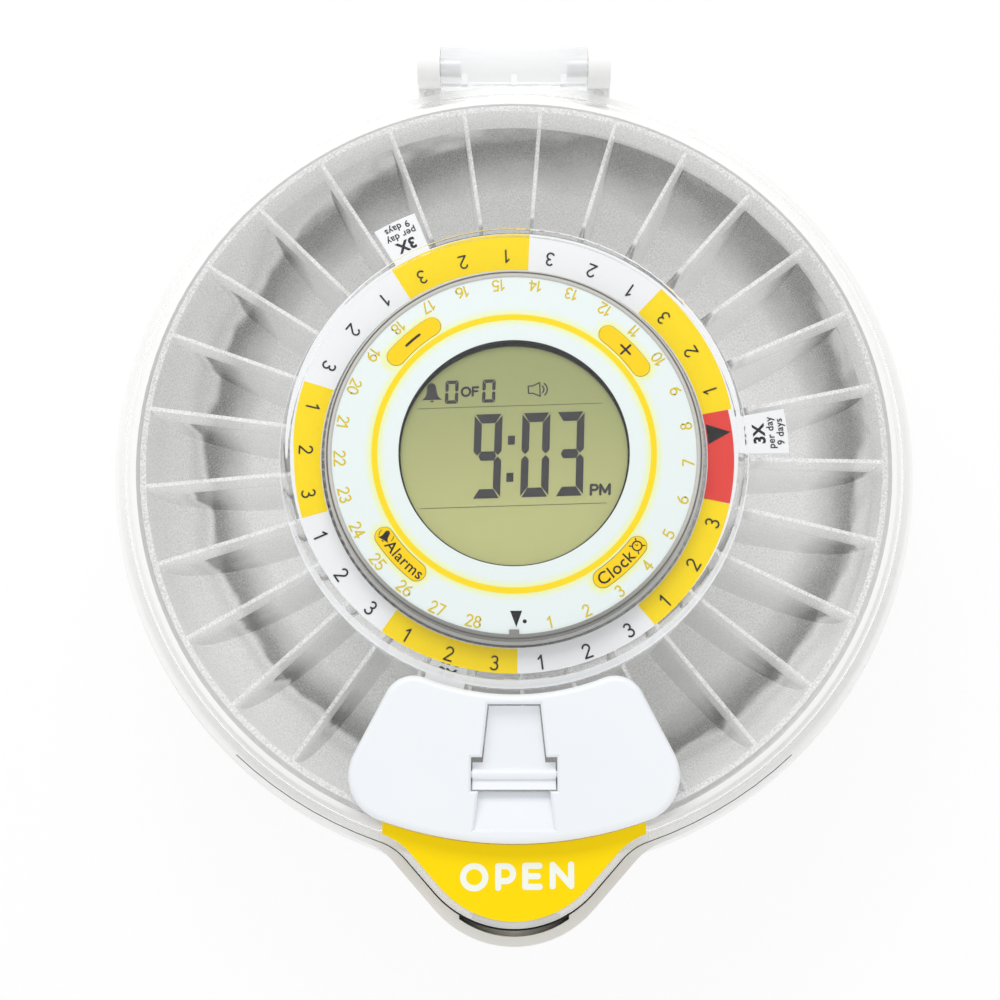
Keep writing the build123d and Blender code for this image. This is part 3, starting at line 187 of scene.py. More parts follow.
def from_axis(tree, place, axis_y=AXIS_Y):
    """The level vector from an upright axis to a place, and its length."""
    centred = add(tree, "ShaderNodeVectorMath", {0: place, 1: (0, axis_y * MM, 0)}, operation="SUBTRACT")
    level = add(tree, "ShaderNodeVectorMath", {0: centred.outputs[0], 1: (1, 1, 0)}, operation="MULTIPLY")
    length = add(tree, "ShaderNodeVectorMath", {0: level.outputs[0]}, operation="LENGTH")
    return level.outputs[0], length.outputs["Value"]


def seen_rays(tree):
    """1 for a ray that shows a picture: straight to the camera, mirrored or through a clear wall. Else 0."""
    rays = add(tree, "ShaderNodeLightPath").outputs
    mirrored = sums(tree, "MAXIMUM", rays["Is Glossy Ray"], rays["Is Transmission Ray"])
    return sums(tree, "MAXIMUM", rays["Is Camera Ray"], mirrored)


print("40 mm clouds have a noise scale of", 1 / (40 * MM))

# %% [markdown]
# ## Floor
# The dispenser was photographed as a product on pure white. A floor that is partly its own white, for the
# camera and for what is mirrored or seen through, keeps that white and still takes the object's shadow.

# %% Floor
STAGE = 1.5  # half the floor's side, in metres
OWN_WHITE = 0.85  # the share of the floor that glows, where it is seen
floor = bpy.data.objects.new("floor", bpy.data.meshes.new("floor"))
corners = [(-STAGE, -STAGE, 0), (STAGE, -STAGE, 0), (STAGE, STAGE, 0), (-STAGE, STAGE, 0)]
floor.data.from_pydata(corners, [], [(0, 1, 2, 3)])
bpy.context.scene.collection.objects.link(floor)

paper, tree, output, _ = start_material("white_paper")
share = sums(tree, "MULTIPLY", seen_rays(tree), OWN_WHITE)
matt = add(tree, "ShaderNodeBsdfDiffuse", {"Color": linear("#f8f8f8")})
glow = add(tree, "ShaderNodeEmission", {"Color": linear("#ffffff"), "Strength": 1.0})
mixed = add(tree, "ShaderNodeMixShader", {0: share, 1: matt.outputs[0], 2: glow.outputs[0]})
tree.links.new(mixed.outputs[0], output.inputs[0])
floor.data.materials.append(paper)
print("floor", 2 * STAGE, "m wide")

# %% [markdown]
# ## Light
# The even world gives most of the light. One broad soft lamp stands low behind the dispenser, because the
# display is shaded along its back edge, and low enough that the flat clear lid doesn't mirror it into the
# camera. A weaker one in front fills the shade that the outlet panel throws on the label and the tub's spout.

# %% Lamps and world
LAMPS = {"soft_lamp": ((-0.12, 0.64, 0.62), 3.5), "front_fill": ((0.08, -0.78, 0.36), 1.1)}  # metres, watts
LAMP_W, LAMP_H = 0.8, 0.36
SKY_LIGHT = 0.75  # the world's strength as a light; where it is seen it has strength 1
for name, (stand, watts) in LAMPS.items():
    lamp = bpy.data.objects.new(name, bpy.data.lights.new(name, "AREA"))
    lamp.data.shape = "RECTANGLE"
    lamp.data.size, lamp.data.size_y = LAMP_W, LAMP_H
    lamp.data.energy = watts
    lamp.location = stand
    lamp.rotation_euler = (AIM - lamp.location).to_track_quat("-Z", "Y").to_euler()
    bpy.context.scene.collection.objects.link(lamp)

world = bpy.data.worlds.new("studio")
world.use_nodes = True
tree = world.node_tree
tree.nodes.clear()
strength = ramp(tree, seen_rays(tree), 0, 1, SKY_LIGHT, 1.0)
sky = add(tree, "ShaderNodeBackground", {"Color": linear("#ffffff"), "Strength": strength})
add(tree, "ShaderNodeOutputWorld", {"Surface": sky.outputs[0]})
bpy.context.scene.world = world
print("lamps and their watts:", {name: watts for name, (stand, watts) in LAMPS.items()})

# %% [markdown]
# ## Moulded plastics
# The tub and the panel are injection-moulded ABS. Such a surface is never one flat tone: the colour drifts a
# little between flow fronts a few centimetres apart, and the mould's spark-eroded texture breaks up the
# gloss. The real grain is about 0.05 mm, too fine to show here, so it is drawn at 0.4 mm and very shallow.
# The finger well under the lid's lip is a narrow shaded place, and the tub's colour darkens into it as
# painted shade.

# %% Moulded plastic
RIM_NOSE_Y, RIM_NOSE_R, RIM_Z = -85.5, 24.5, 45.5  # the spout's tip, in millimetres: middle, radius, top
WELL_WALL, WELL_HALF, WELL_FLOOR = 2.2, 12.6, 40.5  # the finger well: wall, half width, floor


def in_well(tree, place):
    """How much painted shade a place gets in the finger well, from 0 to 1: within its curved wall, over its
    floor, below the rim, and less at its middle, where the light falls in."""
    radius = from_axis(tree, place, RIM_NOSE_Y)[1]
    parts = add(tree, "ShaderNodeSeparateXYZ", {0: place}).outputs
    within = sums(tree, "LESS_THAN", radius, (RIM_NOSE_R - WELL_WALL / 2) * MM)
    inside = sums(tree, "MULTIPLY", within, sums(tree, "GREATER_THAN", parts["Z"], (WELL_FLOOR - 0.2) * MM))
    down = ramp(tree, parts["Z"], (RIM_Z - 0.1) * MM, (RIM_Z - 1.5) * MM)
    aside = ramp(tree, sums(tree, "ABSOLUTE", parts["X"]), 0.0, WELL_HALF * MM, 0.2, 1.0)
    return sums(tree, "MULTIPLY", sums(tree, "MULTIPLY", inside, down), aside)


def moulded(name, colour, shade, roughness, grain=0.4, depth=0.004, well=None, specular=0.5):
    """Moulded plastic: two close shades in 40 mm clouds, and a grain of this width and depth in millimetres.
    Given a colour of painted shade for its finger well, it darkens into it, most towards the well's two ends."""
    material, tree, output, place = start_material(name)
    clouds = noise(tree, place, 40, 3.0)
    tint = blend(tree, clouds, colour, shade)
    if well:
        tint = blend(tree, in_well(tree, place), tint, well)
    gloss = ramp(tree, clouds, 0, 1, roughness - 0.05, roughness + 0.05)
    normal = bumps(tree, noise(tree, place, grain, 2.0), depth)
    inputs = {"Base Color": tint, "Roughness": gloss, "Normal": normal, "Specular IOR Level": specular}
    principled(tree, output, inputs)
    return material


# The tub darkens to #3a3a39 in the finger well: painted shade.
white_abs = moulded("white_abs", "#f6f6f5", "#efefee", 0.38, well="#3a3a39")
grey_white_abs = moulded("grey_white_abs", "#e9e9e8", "#e0e1e0", 0.45)
panel_abs = moulded("panel_abs", "#f1f4f7", "#ebeff3", 0.30, grain=0.6, depth=0.002)
acetal = moulded("natural_acetal", "#e6e4dc", "#dad7cc", 0.42)
black_polypropylene = moulded("black_polypropylene", "#232326", "#17171a", 0.50)
black_epoxy = moulded("black_epoxy", "#1c1c1f", "#121214", 0.55, grain=0.2)
foot_rubber = moulded("foot_rubber", "#3b3c3e", "#2d2e30", 0.78, grain=0.3, depth=0.01)
key_silicone = moulded("key_silicone", "#fad402", "#f5cb01", 0.55, grain=0.3, depth=0.006, specular=0.06)
label_vinyl = moulded("label_vinyl", "#ffdd02", "#fdd900", 0.35, grain=0.5, depth=0.002, specular=0.12)
dose_card = moulded("dose_card", "#eef0f1", "#e6e8ea", 0.42, grain=0.3, depth=0.003)
print("the tub's finish:", white_abs.name, "with", len(white_abs.node_tree.nodes), "nodes")

# %% [markdown]
# ## Clear polystyrene
# The lid and the carousel are crystal polystyrene, with an index of 1.59: bright edges, a sharp gloss, and a
# faint waviness where the melt flowed round the mould. A shadow ray would stop at such a shader, and light
# that a matt surface scatters would be counted twice behind it. Both kinds of ray pass straight through a
# Transparent shader instead, and the compartments stay as light as in real life.
# The carousel's plastic is thicker and scuffed by what lies in it, so part of it scatters the light. The
# colour of that scatter is painted light and shade: white near the hub and on the upright walls, and a dark
# band in the steep outer scoop as painted shade and reflection. The lid's hinge barrel and lip are frosted a
# little. The index
# is set below the real one: the mouldings are stacks of thin walls, and at 1.59 the render's few bounces turn
# their edges black, which daylight doesn't.

# %% Clear plastics
FLOW = 1000 / 65  # millimetres from wave to wave
WANDER = 1.2  # how far a tone strays from its distance, in millimetres
DECK_Z, LIFT = 41.0, 30.0  # a wall above this height has the tone of a distance this much larger
BRIM_IN, BRIM_OUT = 95.2, 96.0  # the frost sets in between these distances from the axis
TONE_SPAN = 100.0  # millimetres that the colour ramp covers


def clear(name, roughness, ior, haze, tones_and_shade, wave=0.012, frost=0.0, middle=(0.0, 0.0)):
    """Clear plastic: wavy by this many millimetres, with a share of its surface scattering. Each tone is the
    colour of the scatter at a distance in millimetres from a middle near the axis; on the carousel these
    colours are painted light and shade. Frost adds to the scatter's share at the brim."""
    material, tree, output, place = start_material(name)
    flow = noise(tree, place, FLOW, 2.0)
    inputs = {"Base Color": linear("#ffffff"), "Roughness": roughness, "IOR": ior, "Transmission Weight": 1.0}
    glass = add(tree, "ShaderNodeBsdfPrincipled", {**inputs, "Normal": bumps(tree, flow, wave)})

    level, radius = from_axis(tree, place)
    from_middle = {0: level, 1: (middle[0] * MM, middle[1] * MM, 0)}
    from_middle = add(tree, "ShaderNodeVectorMath", from_middle, operation="DISTANCE").outputs["Value"]
    reach = sums(tree, "ADD", from_middle, ramp(tree, flow, 0.3, 0.7, -WANDER * MM, WANDER * MM))
    height = add(tree, "ShaderNodeSeparateXYZ", {0: place}).outputs["Z"]
    upright = ramp(tree, height, (DECK_Z - 0.5) * MM, (DECK_Z + 0.5) * MM, 0.0, LIFT * MM)
    outward = sums(tree, "DIVIDE", sums(tree, "ADD", reach, upright), TONE_SPAN * MM)
    tone = add(tree, "ShaderNodeValToRGB", {0: outward})
    stops = tone.color_ramp.elements
    stops.remove(stops[-1])
    for distance, _ in tones_and_shade[1:]:
        stops.new(distance / TONE_SPAN)
    for stop, (distance, shade) in zip(stops, tones_and_shade):
        stop.position, stop.color = distance / TONE_SPAN, linear(shade)
    matt = add(tree, "ShaderNodeBsdfDiffuse", {"Color": tone.outputs[0]})

    milky = ramp(tree, noise(tree, place, 0.4, 4.0), 0.3, 0.7, 0.6 * haze, 1.4 * haze)
    amount = sums(tree, "ADD", milky, ramp(tree, radius, BRIM_IN * MM, BRIM_OUT * MM, 0.0, frost))
    surface = add(tree, "ShaderNodeMixShader", {0: amount, 1: glass.outputs[0], 2: matt.outputs[0]})
    rays = add(tree, "ShaderNodeLightPath").outputs
    through = add(tree, "ShaderNodeBsdfTransparent", {"Color": linear("#ffffff")})
    for kind in ("Is Diffuse Ray", "Is Shadow Ray"):
        ends = {0: rays[kind], 1: surface.outputs[0], 2: through.outputs[0]}
        surface = add(tree, "ShaderNodeMixShader", ends)
    tree.links.new(surface.outputs[0], output.inputs[0])
    return material


# The carousel's scatter colours are painted light and shade: white near the hub and on walls above DECK_Z,
# and a dark band from 81 to 83 mm as painted shade and reflection.
SCOOP_LIGHT_AND_SHADE = [(58, "#ffffff"), (73, "#ffffff"), (78, "#c4c4c3"), (81, "#7c7c7b"), (83, "#666665")]
SCOOP_LIGHT_AND_SHADE += [(84.2, "#ffffff"), (86, "#e6e6e5"), (88, "#ffffff")]
lid_polystyrene = clear("lid_polystyrene", 0.02, ior=1.16, haze=0.01, tones_and_shade=[(0, "#f0f1f2")], frost=0.45)
tray_polystyrene = clear("tray_polystyrene", 0.05, ior=1.22, haze=0.42, tones_and_shade=SCOOP_LIGHT_AND_SHADE, middle=(3.5, 5.5))
lens_acrylic = clear("lens_acrylic", 0.02, ior=1.12, haze=0.005, tones_and_shade=[(0, "#f5f6f5")], wave=0.0)
print("clear finishes:", lid_polystyrene.name, tray_polystyrene.name, lens_acrylic.name)

# %% [markdown]
# ## Clock face
# The face is pale mint ABS, screen-printed in yellow. Round the printed ring and round the keys the yellow
# glows softly into the mint, as ink does in a translucent varnish. The glow is a matter of distance: from the
# ring's circle, and from the arcs along which the keys lie, one every quarter turn.

# %% Mint face with a yellow glow
RING_R, KEY_R, KEY_HALF = 33.2, 36.7, 2.2  # the printed ring, the keys' arc and half a key's width
KEY_SWEEP, FIRST_KEY = 8.8, 42.7  # half a key's arc and the middle of the first key, in degrees
mint_face, tree, output, place = start_material("mint_face")
level, radius = from_axis(tree, place)
from_ring = sums(tree, "ABSOLUTE", sums(tree, "SUBTRACT", radius, RING_R * MM))
ring_glow = ramp(tree, from_ring, 0.5 * MM, 2.8 * MM, 1.0, 0.0, "SMOOTHERSTEP")
parts = add(tree, "ShaderNodeSeparateXYZ", {0: level}).outputs
turn = sums(tree, "ARCTAN2", parts["Y"], parts["X"])
nearest = sums(tree, "PINGPONG", sums(tree, "SUBTRACT", turn, radians(FIRST_KEY)), radians(45))
past_end = sums(tree, "MAXIMUM", sums(tree, "SUBTRACT", nearest, radians(KEY_SWEEP)), 0.0)
along = sums(tree, "MULTIPLY", past_end, KEY_R * MM)
across = sums(tree, "SUBTRACT", radius, KEY_R * MM)
away = add(tree, "ShaderNodeCombineXYZ", {0: along, 1: across}).outputs[0]
from_key = add(tree, "ShaderNodeVectorMath", {0: away}, operation="LENGTH").outputs["Value"]
key_glow = ramp(tree, from_key, KEY_HALF * MM, (KEY_HALF + 2.2) * MM, 1.0, 0.0, "SMOOTHERSTEP")
tint = blend(tree, sums(tree, "MAXIMUM", ring_glow, key_glow), "#e3edeb", "#e8efac")
normal = bumps(tree, noise(tree, place, 0.3, 2.0), 0.003)
principled(tree, output, {"Base Color": tint, "Roughness": 0.42, "Normal": normal})
print("glow round the ring at", RING_R, "mm and the keys at", KEY_R, "mm")

# %% [markdown]
# ## Display
# A reflective liquid-crystal display is an olive film behind glass, with a fine sandy grain from its rear
# polariser. Its olive is darker at the back and lighter towards the viewer: painted shade from the back edge
# of its window. The grain is about 0.3 mm here, as coarse as it shows.

# %% Display film
OLIVE_SHADED_BACK, OLIVE_LIT_FRONT, SAND = "#9ba06d", "#bfc183", "#8b9061"
display_film, tree, output, place = start_material("display_film")
y = add(tree, "ShaderNodeSeparateXYZ", {0: place}).outputs["Y"]
# Darker at the back, lighter at the front: painted shade.
down = ramp(tree, y, (AXIS_Y + 26) * MM, (AXIS_Y - 24) * MM, curve="SMOOTHSTEP")
speck = ramp(tree, noise(tree, place, 0.3, 3.0), 0.3, 0.7, 0.0, 0.30)
tint = blend(tree, speck, blend(tree, down, OLIVE_SHADED_BACK, OLIVE_LIT_FRONT), SAND)
principled(tree, output, {"Base Color": tint, "Roughness": 0.6, "Specular IOR Level": 0.15})
print("display from", OLIVE_SHADED_BACK, "at the back to", OLIVE_LIT_FRONT, "at the front")

# %% [markdown]
# ## Metal, board and batteries
# Inside are zinc-plated screws and contacts, a glass-fibre board and four cells in a shrunk sleeve. They are
# seen only with the battery door off, but each is what it is: zinc has a fine drawn grain, the board shows
# its weave through the green mask, and the sleeve has a lighter band round one end.

# %% Zinc, board and cell sleeve
zinc, tree, output, place = start_material("zinc_plated_steel")
drawn = add(tree, "ShaderNodeMapping", {"Vector": place, "Scale": (1.0, 6.0, 1.0)}).outputs[0]
streaks = noise(tree, drawn, 2 / 3, 3.0)
tint = blend(tree, streaks, "#d6d8da", "#c4c7ca")
gloss = ramp(tree, streaks, 0, 1, 0.25, 0.42)
principled(tree, output, {"Base Color": tint, "Metallic": 1.0, "Roughness": gloss})

fibre_board, tree, output, place = start_material("glass_fibre_board")
threads = {"Color1": linear("#1f5c38"), "Color2": linear("#1a5232")}
weave = add(tree, "ShaderNodeTexChecker", {"Vector": place, "Scale": 1 / (0.5 * MM), **threads}).outputs[0]
principled(tree, output, {"Base Color": weave, "Roughness": 0.35})

cell_sleeve, tree, output, place = start_material("shrunk_cell_sleeve")
y = add(tree, "ShaderNodeSeparateXYZ", {0: place}).outputs["Y"]
band = sums(tree, "GREATER_THAN", y, (AXIS_Y + 14) * MM)
tint = blend(tree, band, "#34373d", "#8b8f96")
normal = bumps(tree, noise(tree, place, 10 / 3, 2.0), 0.02)
principled(tree, output, {"Base Color": tint, "Roughness": 0.3, "Normal": normal})
print("inside finishes:", zinc.name, fibre_board.name, cell_sleeve.name)

# %% [markdown]
# ## Bezel
# The ring round the clock face is dark ABS in a bright polished mould. It has a fine dark crest, and it is
# lighter towards the back and darker at the front: a painted reflection of the room in its gloss.

# %% Bezel
CREST_R = 44.4
bezel_abs, tree, output, place = start_material("dark_bright_moulded_abs")
level, radius = from_axis(tree, place)
y = add(tree, "ShaderNodeSeparateXYZ", {0: level}).outputs["Y"]
# Lighter towards the back: painted reflection.
back = ramp(tree, y, -44 * MM, -8 * MM, curve="SMOOTHSTEP")
off_crest = sums(tree, "ABSOLUTE", sums(tree, "SUBTRACT", radius, CREST_R * MM))
crest = ramp(tree, off_crest, 0.10 * MM, 0.30 * MM, 1.0, 0.0)
tint = blend(tree, crest, blend(tree, back, "#80817d", "#c4c2bc"), "#4f4c48")
principled(tree, output, {"Base Color": tint, "Roughness": 0.28})
print("the bezel's crest is", CREST_R, "mm from the axis")

# %% [markdown]
# ## Dressing the solids
# Each solid keeps its shape and gets the finish of the material it is made of. The carousel's clear walls
# cast no shadow and don't stop scattered light: a ray that leaves a compartment sideways crosses a dozen of
# them, more than the render follows, and the tub behind would turn black.

# %% Dress the solids
FINISH = {
    white_abs: ["base_housing", "battery_door"],
    grey_white_abs: ["hub_housing"],
    panel_abs: ["outlet_panel", "outlet_flap"],
    lid_polystyrene: ["lid_shell"],
    tray_polystyrene: ["tray_bowl", "tray_dividers"],
    lens_acrylic: ["display_lens"],
    mint_face: ["face_plate"],
    bezel_abs: ["bezel_ring"],
    key_silicone: ["plus_button", "minus_button", "alarms_button", "clock_button"],
    dose_card: ["dose_ring"],
    label_vinyl: ["open_label"],
    display_film: ["lcd_module"],
    acetal: ["ring_gear", "drive_pinion"],
    black_polypropylene: ["battery_holder"],
    black_epoxy: ["board_parts", "buzzer", "tact_switches"],
    fibre_board: ["main_board"],
    cell_sleeve: ["batteries"],
    zinc: ["hinge_pins", "battery_contacts", "door_screw", "hub_screws", "gearmotor", "motor_bracket"]
    + ["motor_screws", "bracket_screws", "board_screws", "motor_shaft"],
    foot_rubber: ["rubber_feet"],
}
for finish, names in FINISH.items():
    for name in names:
        for slot in solid[name].material_slots:
            slot.material = finish
for name in FINISH[tray_polystyrene]:
    solid[name].visible_shadow = False
    solid[name].visible_diffuse = False
dressed = {name for names in FINISH.values() for name in names}
print("dressed", len(dressed), "solids; bare:", sorted(set(solid) - dressed))

# %% [markdown]
# ## Inks
# Screen ink is a thin, slightly rough film. It covers a little unevenly, so each ink drifts between two near
# shades in patches of about 2 mm.

# %% Inks


def ink(name, colour, shade):
    """Screen ink: two near shades in 2 mm patches."""
    material, tree, output, place = start_material(name)
    tint = blend(tree, noise(tree, place, 2, 3.0), colour, shade)
    principled(tree, output, {"Base Color": tint, "Roughness": 0.45, "Specular IOR Level": 0.12})
    return material


black_ink = ink("black_ink", "#17181a", "#222326")
yellow_ink = ink("yellow_ink", "#fbdc04", "#f7d602")
pale_yellow_ink = ink("pale_yellow_ink", "#dcc418", "#d2b912")
red_ink = ink("red_ink", "#e5453e", "#dd3e38")
white_ink = ink("white_ink", "#f5f8ee", "#eef3e6")
display_ink = ink("display_ink", "#353437", "#3f3e41")
line_ink = ink("line_ink", "#5c5f45", "#54573f")
print("inks ready")

# %% [markdown]
# ## Drawing flat things
# Everything printed is a thin plate. Three shapes are enough: a ribbon, which is a path with a width; a
# plate, which is an outline with a thickness; and type. Each is worked out flat, in millimetres, and then
# laid either straight or along a circle round the carousel's axis.

# %% Ribbon, stroke and plate


def ribbon(path, half_width, closed=False):
    """Band along a path of points: each point steps out by the half width on both sides, at right angles to
    the way the path runs, on two levels, 0 and 1."""
    path = np.asarray(path, float)
    if closed:
        way = np.roll(path, -1, 0) - np.roll(path, 1, 0)
    else:
        way = np.gradient(path, axis=0)
    way /= np.linalg.norm(way, axis=1, keepdims=True)
    side = np.stack([-way[:, 1], way[:, 0]], 1) * np.broadcast_to(half_width, len(path))[:, None]
    rows = np.stack([path - side, path + side, path + side, path - side], 1)
    height = np.broadcast_to([1.0, 1.0, 0.0, 0.0], rows.shape[:2])
    points = np.concatenate([rows, height[..., None]], 2).reshape(-1, 3)
    number = np.arange(len(points)).reshape(-1, 4)
    ring = np.vstack([number, number[:1]]) if closed else number
    ahead = np.roll(ring, -1, 1)
    faces = np.stack([ring[:-1], ring[1:], ahead[1:], ahead[:-1]], -1).reshape(-1, 4).tolist()
    if not closed:
        faces += [number[0].tolist(), number[-1][::-1].tolist()]
    return points, faces


def stroke(path, width):
    """Pen stroke with round ends: past each end the path runs on by r cos t, its half width being r sin t."""
    path = np.asarray(path, float)
    if len(path) == 2:
        path = path[0] + np.linspace(0, 1, 5)[:, None] * (path[1] - path[0])
    half = width / 2
    t = np.linspace(0.08, np.pi / 2, 8)[:-1]
    first = (path[0] - path[1]) / np.linalg.norm(path[0] - path[1])
    last = (path[-1] - path[-2]) / np.linalg.norm(path[-1] - path[-2])
    start = path[0] + first * (half * np.cos(t))[:, None]
    end = path[-1] + last * (half * np.cos(t[::-1]))[:, None]
    widths = np.concatenate([half * np.sin(t), np.full(len(path), half), half * np.sin(t[::-1])])
    return ribbon(np.concatenate([start, path, end]), widths)


def plate(outline):
    """Flat plate inside an outline that runs anticlockwise: the outline at level 0 and again at level 1."""
    outline = np.asarray(outline, float)
    count = len(outline)
    levels = np.repeat([0.0, 1.0], count)
    points = np.column_stack([np.tile(outline, (2, 1)), levels])
    this = np.arange(count)
    following = np.roll(this, -1)
    sides = np.stack([this, following, following + count, this + count], 1).tolist()
    return points, [this[::-1].tolist(), (this + count).tolist(), *sides]


def circle_path(radius, start, end, middle=(0, 0), squash=1.0):
    """Points on a circle from one angle to another in degrees, a step every 3 degrees or less."""
    angle = np.radians(np.linspace(start, end, max(3, int(abs(end - start) / 3) + 1)))
    return np.column_stack([middle[0] + radius * np.cos(angle), middle[1] + radius * squash * np.sin(angle)])


print("a stroke has", len(stroke([(0, 0), (1, 0)], 0.2)[0]), "points")

# %% [markdown]
# Type is set with Blender's own text, one line at a time, and made a mesh at once, so that it can be bent.
# Its size is given by the height of a figure, which is what can be measured on the object.

# %% Type


def type_mesh(body, thicken):
    """Points and faces of a line of type on two levels, at size 1."""
    text = bpy.data.curves.new("type", "FONT")
    text.body = body
    text.size = 1.0
    text.extrude = 0.5
    text.offset = thicken
    text.resolution_u = 5
    text.space_character = 1.06
    setting = bpy.data.objects.new("type", text)
    bpy.context.scene.collection.objects.link(setting)
    bpy.context.view_layer.update()
    mesh = bpy.data.meshes.new_from_object(setting.evaluated_get(bpy.context.evaluated_depsgraph_get()))
    points = np.empty(len(mesh.vertices) * 3)
    mesh.vertices.foreach_get("co", points)
    faces = [list(polygon.vertices) for polygon in mesh.polygons]
    for store, block in ((bpy.data.objects, setting), (bpy.data.curves, text), (bpy.data.meshes, mesh)):
        store.remove(block)
    points = points.reshape(-1, 3)
    points[:, 2] += 0.5
    return points, faces


FIGURE = np.ptp(type_mesh("0", 0.0)[0][:, 1])


def set_type(body, height, thicken):
    """A line of type whose figures are this high, in the middle of its place, thickened by millimetres."""
    points, faces = type_mesh(body, thicken * FIGURE / height)
    points = points * [height / FIGURE, height / FIGURE, 1.0]
    points[:, 1] -= height / 2
    points[:, 0] -= (points[:, 0].min() + points[:, 0].max()) / 2
    return points, faces


print("a figure is", round(float(FIGURE), 3), "of the type size")

# %% [markdown]
# Two ways of laying a flat drawing: straight, turned about its own middle, or bent round the carousel's axis
# with the tops of the letters towards the middle. One function then joins drawings into a piece.

# %% Lay and join


def lay(drawing, at=(0, 0), turn=0.0, lean=0.0):
    """Leaned, x growing by lean times y, then turned and moved: x' = x cos - y sin, y' = x sin + y cos."""
    points, faces = drawing
    cos, sin = np.cos(np.radians(turn)), np.sin(np.radians(turn))
    x, y = points[:, 0] + lean * points[:, 1], points[:, 1]
    return np.column_stack([at[0] + x * cos - y * sin, at[1] + x * sin + y * cos, points[:, 2]]), faces


def bend(drawing, radius, angle):
    """Laid along a circle: x runs anticlockwise along the arc from this angle, and y towards the axis."""
    points, faces = drawing
    a = np.radians(angle) + points[:, 0] / radius
    r = radius - points[:, 1]
    return np.column_stack([r * np.cos(a), r * np.sin(a), points[:, 2]]), faces


def piece(name, drawings, top, material, body, thickness=FILM):
    """One object from flat drawings: level 0 lies on top, level 1 is this much higher; centred on the axis.
    Drawings that cross, as the strokes of a letter do, end at four slightly different levels."""
    points, faces, count = [], [], 0
    for number, (drawn, drawn_faces) in enumerate(drawings):
        points.append(drawn * [1, 1, 1 + 0.15 * (number % 4)])
        faces += [[count + corner for corner in face] for face in drawn_faces]
        count += len(drawn)
    points = np.vstack(points)
    points = np.column_stack([points[:, 0], points[:, 1] + AXIS_Y, top + thickness * points[:, 2]]) * MM
    mesh = bpy.data.meshes.new(name)
    mesh.from_pydata(points.tolist(), [], faces)
    mesh.validate()
    mesh.materials.append(material)
    made = bpy.data.objects.new(name, mesh)
    bpy.context.scene.collection.objects.link(made)
    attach(made, body)
    print(name, len(mesh.polygons), "faces on", body)
    return made


# %% [markdown]
# Figures are drawn with the pen instead, because the printed ones are thin and round, and their one has a
# flag and no foot. Each is a few strokes in a box one unit high, and a number sets its figures side by side.

# %% Pen figures and capitals


def bow(middle, radius, start, end, squash=1.0):
    """Arc of a figure, in units of its height."""
    return circle_path(radius, start, end, middle, squash)


def six():
    """Bowl, and a back that leaves it at the left and leans over to the right."""
    back = np.vstack([bow((0.17, 0.42), 0.455, 180, 112), [(0.12, 0.97)]])
    return [bow((0, 0.29), 0.285, 0, 360), back]


PEN_SIGNS = {
    "0": [bow((0, 0.5), 0.29, 0, 360, 1.72)],
    "1": [[(-0.17, 0.76), (0.06, 0.99)], [(0.06, 1.0), (0.06, 0.0)]],
    "2": [np.vstack([bow((0, 0.73), 0.26, 165, -38), [(-0.25, 0.0)]]), [(-0.25, 0.0), (0.29, 0.0)]],
    "3": [bow((-0.01, 0.76), 0.235, 145, -90), bow((-0.01, 0.265), 0.265, 90, -145)],
    "4": [[(0.12, 0.0), (0.12, 1.0)], [(0.12, 1.0), (-0.30, 0.28)], [(-0.30, 0.28), (0.30, 0.28)]],
    "5": [[(0.24, 1.0), (-0.17, 1.0)], [(-0.17, 1.0), (-0.22, 0.53)], bow((-0.01, 0.31), 0.29, 133, -150)],
    "6": six(),
    "7": [[(-0.27, 1.0), (0.27, 1.0)], [(0.27, 1.0), (-0.09, 0.0)]],
    "8": [bow((0, 0.76), 0.225, 0, 360), bow((0, 0.27), 0.27, 0, 360)],
    "9": [np.array([0.0, 1.0]) - np.asarray(path) for path in six()],
    "F": [[(-0.25, 0.0), (-0.25, 1.0)], [(-0.25, 1.0), (0.27, 1.0)], [(-0.25, 0.53), (0.20, 0.53)]],
    "M": [
        [(-0.38, 0.0), (-0.38, 1.0)],
        [(-0.38, 1.0), (0, 0.2)],
        [(0, 0.2), (0.38, 1.0)],
        [(0.38, 1.0), (0.38, 0.0)],
    ],
    "O": [bow((0, 0.5), 0.42, 0, 360, 1.19)],
    "P": [
        [(-0.25, 0.0), (-0.25, 1.0)],
        np.vstack([[(-0.25, 1.0)], bow((0.03, 0.735), 0.265, 90, -90), [(-0.25, 0.47)]]),
    ],
}
WIDE = {"1": 0.42, "M": 1.06, "O": 1.12}  # how much room a sign takes; the others take NARROW
NARROW = 0.76


def pen(signs, height, width, stretch=1.0):
    """Signs side by side as pen strokes, centred. Their outer edges span the height; stretch widens them."""
    steps = np.array([WIDE.get(sign, NARROW) for sign in signs])
    middles = np.cumsum(steps) - steps / 2 - steps.sum() / 2
    inner = height - width
    drawn = []
    for sign, middle in zip(signs, middles):
        for path in PEN_SIGNS[sign]:
            drawn.append(stroke((np.asarray(path, float) + [middle, -0.5]) * [inner * stretch, inner], width))
    return drawn


print("pen signs:", "".join(PEN_SIGNS))

# %% [markdown]
# ## Print on the clock face
# A yellow ring frames the display. Outside it run the numbers 1 to 28, one for each filled compartment, with
# their tops towards the middle, and a small pointer marks the outlet at the front.

# %% Ring, numbers and pointer
piece("accent_ring", [ribbon(circle_path(RING_R, 0, 357), 0.7, closed=True)], FACE_TOP, yellow_ink, "base")

